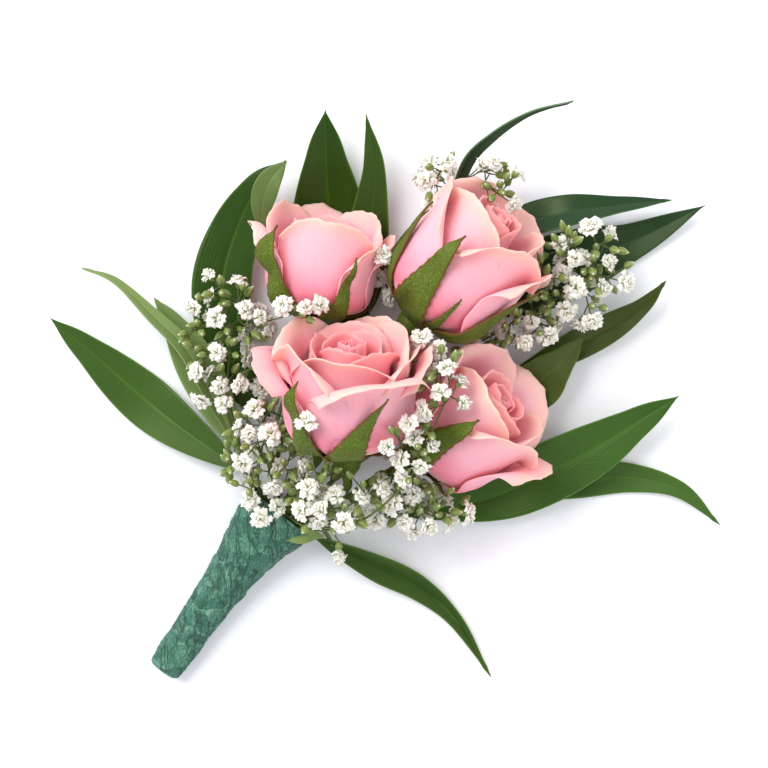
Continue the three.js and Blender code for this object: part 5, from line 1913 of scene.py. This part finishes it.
SPRIGS: list[LeafSprig] = [
    LeafSprig(
        "leaf_sprig_1",
        Lane(0.74, (-4.6, -1.6), (-5.5, -2.4)),
        [(-30.6, -18.5, 4.6), (-32, -13, 6.5)],
        [
            Leaf([
                (-31, -17.8, 4.8), (-45.1, -8.3, 1.8), (-55, -0.4, 0.15), (-64.8, 8.3, 1.0),
                (-73.4, 15.7, 3.5),
            ], 5.6),
            Leaf([
                (-32, -13.4, 6.4), (-37.6, -2, 8.5), (-43.5, 8.7, 9.5), (-51.1, 16.3, 9),
                (-58.8, 23.5, 8), (-66.1, 26.5, 7),
            ], 3.4, 10, 60),
            Leaf([
                (-31.8, -13.6, 6.2), (-36.8, -3.3, 4.6), (-41.7, 6.1, 4.2), (-46, 13.5, 4.6),
                (-50.5, 20.1, 6),
            ], 3.6, 0, 10),
        ],
    ),
    LeafSprig(
        "leaf_sprig_2",
        Lane(0.74, (-2.9, -3.1), (-3.6, -4.2)),
        [(-24.5, -9, 2.6), (-19.5, 4, 2.4), (-13.5, 13, 2.4)],
        [
            Leaf([
                (-24.6, -9.4, 2.6), (-33.6, 6, 2.4), (-35.8, 21.9, 2.6), (-32.7, 34.5, 4.4),
                (-27.8, 43.9, 8), (-21.6, 49.5, 11),
            ], 6.6, 0, -25),
            Leaf([
                (-14, 12.4, 2.4), (-13, 26.3, 0.9), (-12.7, 38.3, 0.2), (-13.1, 50.2, 4),
                (-13.2, 60.8, 8),
            ], 7.6),
            Leaf([
                (-13.7, 12.8, 2.3), (-6.8, 18.5, 1.6), (-4.4, 28, 1.8), (-3.2, 38.1, 3),
                (-2.4, 48.9, 6), (-4.3, 59.6, 9),
            ], 4.2, 0, -20),
        ],
    ),
    LeafSprig(
        "leaf_sprig_3",
        Lane(0.74, (-0.8, -3.6), (-0.9, -4.7)),
        [(-8, -8, 2.2), (4, 8, 1.8), (13, 20, 1.4), (17, 27.5, 1.6)],
        [
            Leaf([
                (16.4, 26.6, 1.5), (14.6, 38, 4.4), (16.8, 48.9, 9), (22.9, 55.3, 11), (31, 59.9, 12.5),
                (40.2, 62.1, 14),
            ], 3.2, 30, 74),
            Leaf([
                (16.6, 27, 1.5), (28, 35.4, 4.4), (38.8, 38.4, 8), (49.7, 39.9, 7.5), (62, 41.3, 7),
            ], 4.2, -20, -40),
            Leaf([
                (12.2, 19, 1.4), (25, 21.5, 1.2), (34.8, 25.4, 1.0), (44.7, 29.2, 0.2),
                (55.6, 33.3, 0.5), (69.8, 40.4, 4),
            ], 6.4),
        ],
    ),
    LeafSprig(
        "leaf_sprig_4",
        Lane(0.74, (1.5, -3.5), (1.8, -4.6)),
        [(-4, -14.5, 1.8), (12, -4.5, 1.2), (24, 0.4, 1.6)],
        [
            Leaf([
                (22, -0.3, 1.5), (35.3, 6.5, 1.8), (43.4, 10.7, 2.2), (50.6, 14.6, 3), (56.4, 18.7, 5),
                (60.8, 23.7, 8),
            ], 4.6),
            Leaf([(22.4, -0.2, 1.6), (31.1, 0.2, 4.2), (36.5, 4.8, 7), (42.8, 11.3, 8)], 5.4, 0, 10),
        ],
    ),
    LeafSprig(
        "leaf_sprig_5",
        Lane(0.74, (3.4, -2.8), (4.3, -3.6)),
        [(-8, -28.8, 2.4), (5, -27.2, 1.8)],
        [
            Leaf([
                (3.4, -27.4, 1.9), (21.6, -23.9, 2.4), (33.6, -18.8, 4.2), (45.6, -12.6, 5),
                (55.3, -6.5, 6), (63.6, -1.3, 8),
            ], 6.6, 0, 8),
            Leaf([
                (3.8, -27.4, 1.8), (31.6, -21.8, 1.0), (42.5, -20, 0.3), (53.5, -19.3, 0.15),
                (64.4, -21.9, 1.6), (73.1, -29.5, 3),
            ], 4.6),
        ],
    ),
    LeafSprig(
        "leaf_sprig_6",
        Lane(0.74, (4.9, -1.1), (5.2, -1.9)),
        [(-16.8, -28.6, 4.8), (-13.2, -31.2, 4.6), (-11.6, -34.4, 3.4)],
        [
            Leaf([
                (-11.9, -33.8, 3.6), (-2.4, -38.3, 2.0), (7.4, -43.3, 0.6), (15.5, -50.8, 0.15),
                (22.9, -62.7, 2.4),
            ], 4.4, 20, 0),
        ],
    ),
]

SPRAYS: list[Spray] = [
    Spray(
        "gypsophila_spray_1", 111,
        Lane(0.74, (-4.8, 0.8), (-6.4, 1.2)),
        [(-31.5, -12, 11), (-34, 0, 13), (-33, 14, 14)],
        [Cluster((-37, 4, 14), (6, 8, 4), 6, 3), Cluster((-34, 17, 13), (7, 9, 5), 7, 3)],
    ),
    Spray(
        "gypsophila_spray_2", 202,
        Lane(0.74, (-3.4, 2.2), (-4.6, 3.1)),
        [(-27.5, -19, 13), (-26.5, -12, 16)],
        [Cluster((-27, -10, 17), (7, 8, 5), 7, 4), Cluster((-26, -23, 17), (7, 6, 4), 6, 3)],
    ),
    Spray(
        "gypsophila_spray_3", 303,
        Lane(0.74, (-1.6, 3.6), (-2.2, 4.8)),
        [(-20, -23, 14), (-15, -25, 18.5), (-9, -25, 22)],
        [Cluster((-12, -25, 23), (9, 6, 5), 9, 4)],
    ),
    Spray(
        "gypsophila_spray_4", 404,
        Lane(0.74, (4.0, 2.0), (5.2, 2.8)),
        [(-10, -29.4, 12), (2, -26, 14), (9, -22, 16)],
        [Cluster((6, -24, 16), (11, 7, 6), 12, 5)],
    ),
    Spray(
        "gypsophila_spray_5", 505,
        Lane(0.74, (-1.7, -1.9), (-2.0, -2.6)),
        [(-14.5, -8, 4.8), (-6.5, 8, 4.8), (-1.5, 24, 5.2), (4, 34, 6.8), (14, 43, 12)],
        [Cluster((15, 46, 16), (10, 6, 5), 7, 3), Cluster((0, 25.5, 8.5), (2, 5, 2), 2, 0)],
    ),
    Spray(
        "gypsophila_spray_6", 606,
        Lane(0.74, (2.2, -2.2), (2.0, -2.7)),
        [(-12, -18, 4.4), (0, -7, 4.4), (15, 7, 4.8), (28, 14.5, 8), (37, 21, 11)],
        [Cluster((40, 25, 13), (9, 9, 5), 12, 6), Cluster((28, 14, 12), (5, 4, 4), 3, 1)],
    ),
    Spray(
        "gypsophila_spray_7", 707,
        Lane(0.74, (0.6, 3.4), (0.9, 4.2)),
        [(-15, -30, 16), (-5, -27.5, 22.5), (4, -19.5, 28.5), (8, -12, 32.5), (12, -3, 34)],
        [Cluster((6, -14, 32), (5, 6, 4), 5, 3), Cluster((14, 2, 33), (4, 6, 3), 3, 2)],
    ),
]

# Heads that fill in between those of the solid part
FILLERS: dict[str, list[Cluster]] = {
    "gypsophila_spray_1": [
        Cluster((-35, 12, 14), (9, 14, 5), 5, 34),
        Cluster((-28, 18, 14), (5, 7, 6), 4, 10),
        Cluster((-16, 17.5, 27), (6, 3, 3), 3, 3),
    ],
    "gypsophila_spray_2": [Cluster((-26, -14, 16), (10, 12, 6), 6, 40)],
    "gypsophila_spray_3": [Cluster((-10, -22, 20), (12, 8, 7), 5, 38)],
    "gypsophila_spray_4": [Cluster((8, -22, 15), (11, 10, 6), 6, 38)],
    "gypsophila_spray_5": [
        Cluster((10, 45, 14), (5, 6, 5), 3, 8),
        Cluster((24, 43.5, 15), (5, 6, 5), 3, 12),
        Cluster((-0.5, 27, 9), (2, 6, 4), 3, 2),
    ],
    "gypsophila_spray_6": [
        Cluster((40.5, 25, 13), (12, 12, 6), 7, 44),
        Cluster((31, 14, 12), (7, 5, 5), 4, 12),
        Cluster((21, 11, 8), (8, 4, 4), 3, 8),
    ],
    "gypsophila_spray_7": [
        Cluster((4, -9, 33), (6, 7, 5), 3, 10),
        Cluster((10, 3, 33), (4, 7, 4), 2, 8),
    ],
}

# Heads that stand out from the clusters
LONE_HEADS: dict[str, list[LoneHead]] = {
    "gypsophila_spray_1": [
        LoneHead([(-33.5, 10, 14), (-29.5, 12, 11), (-26.4, 13, 8)], (0.2, 0, 1)),
        LoneHead([(-33, 14, 14), (-30, 15.6, 10), (-27.6, 16.6, 7)], (0.1, 0.3, 1), 0.9),
        LoneHead([(-33.6, 6, 13.6), (-31, 7.6, 9.5), (-29.3, 8.6, 7)], (-0.2, 0, 1), 0.95),
        LoneHead([(-34, 0, 13), (-30.4, 0.6, 9), (-27.4, 0.2, 7)], (0.3, 0.2, 1)),
        LoneHead([(-34, 0, 13), (-29.4, 2.2, 10), (-26.8, 4.4, 8)], (0.3, 0.2, 1), kind=Head.BUD),
    ],
    "gypsophila_spray_2": [
        LoneHead(
            [(-13.5, -21.5, 25), (-15, -16, 33), (-15.8, -10, 36.8), (-16.3, -7.2, 37.6)],
            (-0.1, 0.6, 0.8),
        ),
    ],
    "gypsophila_spray_3": [
        LoneHead([(-13, -27.5, 20), (-11.6, -30, 15), (-10.2, -32.8, 11)], (0, -1, 0.1), 1.15, Head.BELL),
    ],
    "gypsophila_spray_5": [
        LoneHead([(-1, 25, 6), (-0.8, 26.5, 13), (-0.6, 28, 18.8)], (0.1, 0.4, 0.9)),
        LoneHead([(-1, 25, 6), (-1.6, 24.4, 10.5)], (-0.1, -0.2, 1), 0.9),
        LoneHead([(-1, 25, 6), (0.4, 22, 9), (0.8, 20.5, 11)], (0.2, -0.3, 1), 0.9),
        LoneHead([(-1, 25, 6), (1.6, 26, 9), (2.6, 24.6, 11)], (0.2, -0.3, 1), 0.9, Head.BUD),
    ],
    "gypsophila_spray_7": [
        LoneHead([(11.5, -1, 33), (9.5, 5, 29), (7.6, 10.3, 25.5)], (-0.2, 0.5, 0.9)),
        LoneHead([(11.5, -1, 33), (11.4, 4, 29.5), (10.8, 8, 25.5)], (0, 0.4, 0.9), 0.95),
        LoneHead([(10, 3.6, 30), (6.4, 6.2, 29)], (-0.8, 0.4, 0.5), kind=Head.BUD),
        LoneHead([(10.4, 5, 28.6), (14, 7, 28)], (0.7, 0.4, 0.5), 0.9, Head.BUD),
    ],
}

# Petals that differ from the solid part's, by rose and azimuth
PETAL_LOOKS: dict[tuple[str, float], dict[str, float]] = {
    ("rose_3", 100): {"corner": 25},
    # the outer left petal of rose_2 mixes in coral as painted shade on its curled-under side
    ("rose_2", 272): {"tone": 0.42},
}

# Sepals that differ from the solid part's, by rose and azimuth
SEPAL_LOOKS: dict[tuple[str, float], dict[str, float]] = {
    ("rose_1", 304): {"azimuth": 318, "half_width": 3.9, "sweep": -12},
}

# How each leaf looks: pale from 0 for the dark upper face to 1 for the underside's colour
LEAF_LOOKS: dict[str, list[LeafLook]] = {
    "leaf_sprig_1": [LeafLook(0.1), LeafLook(0.85, 0.62, 0.1), LeafLook(0.75, 1.3)],
    "leaf_sprig_2": [LeafLook(), LeafLook(0.0, 1.08), LeafLook(0.05, 1.15, 0.15)],
    "leaf_sprig_3": [LeafLook(0.15, 0.55, 0.3), LeafLook(), LeafLook(0.0, 1.2)],
    "leaf_sprig_4": [LeafLook(0.1, 0.75, 0.1), LeafLook(0.1)],
    "leaf_sprig_5": [LeafLook(0.08), LeafLook(0.15, 0.8)],
    "leaf_sprig_6": [LeafLook(0.1, 0.72, 0.5, ((-16.4, -31.6, 5.9),), 0.5)],
}

# Blades that the solid part leaves to its leaves: first the pale start of the narrow leaf
LEAF_START = Leaf([(-21.6, -32.3, 11), (-18.8, -31.6, 10.4), (-16, -31.4, 8.6), (-13.6, -32, 6.6)], 1.7)
# The turned-over right side of the big curved leaf shows its dull underside, its paleness held at 0.45 so
# that the darker upper green mixed in stands for painted shade on that turned-away side
LEAF_FOLD = Leaf([(-21.6, 49.4, 11.8), (-25.4, 44.6, 11.3), (-27, 39, 9.8), (-26.4, 33, 8)], 2.7)
EXTRA_LEAVES: dict[str, list[tuple[Leaf, LeafLook]]] = {
    # pale 0.45 rather than 1: the underside colour darkened as painted shade
    "leaf_sprig_2": [(LEAF_FOLD, LeafLook(0.45, 1.0, -0.1))],
    "leaf_sprig_6": [(LEAF_START, LeafLook(1.0, 1.0, -0.2))],
}

# Leaves of one stem share a green: bluish on the right, olive and fresh green below it
LEAF_FINISHES: dict[str, LeafFinish] = {
    "leaf_sprig_1": LeafFinish("ruscus_leaf_fresh", "#113204", "#325f0b"),
    "leaf_sprig_3": LeafFinish("ruscus_leaf_bluish", "#0f2a16", "#2a4a2b", "#6d8566"),
    "leaf_sprig_4": LeafFinish("ruscus_leaf_olive", "#1d2c04", "#3b4f10", "#80905a"),
    "leaf_sprig_5": LeafFinish("ruscus_leaf_green", "#113806", "#30630f"),
}


@dataclass
class Studio:
    """The floor, the lights and the camera."""

    floor_half: float = 3000.0
    height: float = 600.0
    view_width: float = 169.0
    aim: Pair = (-0.44, 1.32)
    sky_colour: str = "#f9faff"
    sky_strength: float = 0.84

    # Name, place and size in metres, and power in watts of each light
    LIGHTS = (("window", (-0.5, 0.45, 0.75), 0.7, 9.5), ("fill", (0.6, -0.3, 0.7), 0.9, 2.5))

    def floor(self) -> None:
        """Make the floor."""
        build = Build()
        corners = np.array([(-1, -1, 0), (1, -1, 0), (1, 1, 0), (-1, 1, 0)])
        build.add(self.floor_half * corners, [(0, 1, 2, 3)])
        made = build.piece("floor", FloorFinish().make())

    def light(self, name: str, place: Triple, size: float, power: float) -> None:
        """Add a square area light aimed at the flowers.

        Args:
            name: Its name.
            place: Where it hangs, in metres.
            size: Its side, in metres.
            power: Its power, in watts.
        """
        lamp = bpy.data.lights.new(name, "AREA")
        lamp.size = size
        lamp.energy = power
        made = linked(name, lamp)
        made.location = place
        made.rotation_euler = (-Vector(place)).to_track_quat("-Z", "Y").to_euler()

    def camera(self) -> None:
        """Hang the camera straight above."""
        lens = bpy.data.cameras.new("camera")
        lens.lens = lens.sensor_width * self.height / self.view_width
        made = linked("camera", lens)
        made.location = (np.array([*self.aim, self.height]) + FRAME_SHIFT) * MM
        bpy.context.scene.camera = made

    def sky(self) -> None:
        """Light everything softly from all sides."""
        world = bpy.data.worlds.new("sky")
        world.use_nodes = True
        background = world.node_tree.nodes["Background"]
        background.inputs["Color"].default_value = srgb(self.sky_colour)
        background.inputs["Strength"].default_value = self.sky_strength
        bpy.context.scene.world = world

    def make(self) -> None:
        """Make the studio."""
        self.floor()
        self.sky()
        for light in self.LIGHTS:
            self.light(*light)
        self.camera()
        bpy.context.scene.view_settings.view_transform = "Standard"


def block_solids(obstacles: Obstacles) -> None:
    """Fill the obstacles with the roses and leaves, as the solid part does."""
    for rose in ROSES:
        for petal in rose.outer:
            grid = rose.place(petal.grid(8, 10).reshape(-1, 3))
            obstacles.block(rose.name, grid, radius=1.0)
        drape = rose.drape(neighbourhood=14.0, clearance=1.35)
        for sepal in rose.sepals:
            grid = rose.place(sepal.grid(2, 8, drape).reshape(-1, 3))
            obstacles.block(rose.name, grid, radius=1.0)
        line = [*Wrap.lane(rose.lane)[3:], *rose.route, rose.on_axis(-HIP_LENGTH - 2.5)]
        path = SmoothPath([*line, rose.on_axis(-HIP_LENGTH)])
        obstacles.block(rose.name, path.spread(24), radius=1.4)
        obstacles.block(rose.name, [rose.on_axis(h) for h in (-6, -4, -2)], radius=3.4)
    for sprig in SPRIGS:
        path = SmoothPath([*Wrap.lane(sprig.lane)[3:], *sprig.route])
        obstacles.block(sprig.name, path.spread(20), radius=0.9)
        for leaf in sprig.leaves:
            obstacles.block(sprig.name, leaf.grid(4, 16).reshape(-1, 3), radius=1.1)
    for spray in SPRAYS:
        obstacles.block(spray.name, spray.stem()[5:], radius=0.7)


def build_sprays(petal: Material, stalk: Material) -> None:
    """Grow and make the gypsophila sprays: the solid part's heads first, then those between."""
    obstacles = Obstacles()
    block_solids(obstacles)
    tree = SprayTree(petal, stalk)
    heads: dict[str, list[Twig]] = {}
    for spray in SPRAYS:
        heads[spray.name] = spray.grow(obstacles)
        obstacles.block_heads(spray.name, heads[spray.name])
    for spray in SPRAYS:
        known = heads[spray.name]
        more = spray.grow(obstacles, FILLERS[spray.name], known, FILLER_CLEARANCE, FILLER_TWIG)
        obstacles.block_heads(spray.name, more)
        LOG.info("%s has %d + %d heads", spray.name, len(known), len(more))
        lone = LONE_HEADS.get(spray.name, [])
        finish_piece(spray.piece([*known, *more], lone, tree))


def finish_piece(made: Object) -> None:
    """Ride a piece on the part's one body and report it."""
    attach(made, "root")
    LOG.info("%s: %d faces", made.name, len(made.data.polygons))


def main() -> None:
    """Build every piece in order."""
    logging.basicConfig(level=logging.INFO, format="%(message)s")
    Studio().make()
    petal = PetalFinish().make()
    sepal = SepalFinish().make()
    leaf = LeafFinish().make()
    greens = {name: finish.make() for name, finish in LEAF_FINISHES.items()}
    hairs = HairTree()
    finish_piece(Wrap().piece(TapeFinish().make()))
    for rose in ROSES:
        finish_piece(rose.petals_piece(petal))
        finish_piece(rose.greens_piece(sepal, hairs))
    for sprig in SPRIGS:
        extra = EXTRA_LEAVES.get(sprig.name, [])
        skin = greens.get(sprig.name, leaf)
        finish_piece(sprig.piece(skin, LEAF_LOOKS[sprig.name], extra))
    build_sprays(BloomFinish().make(), StalkFinish().make())


if __name__ == "__main__":
    main()
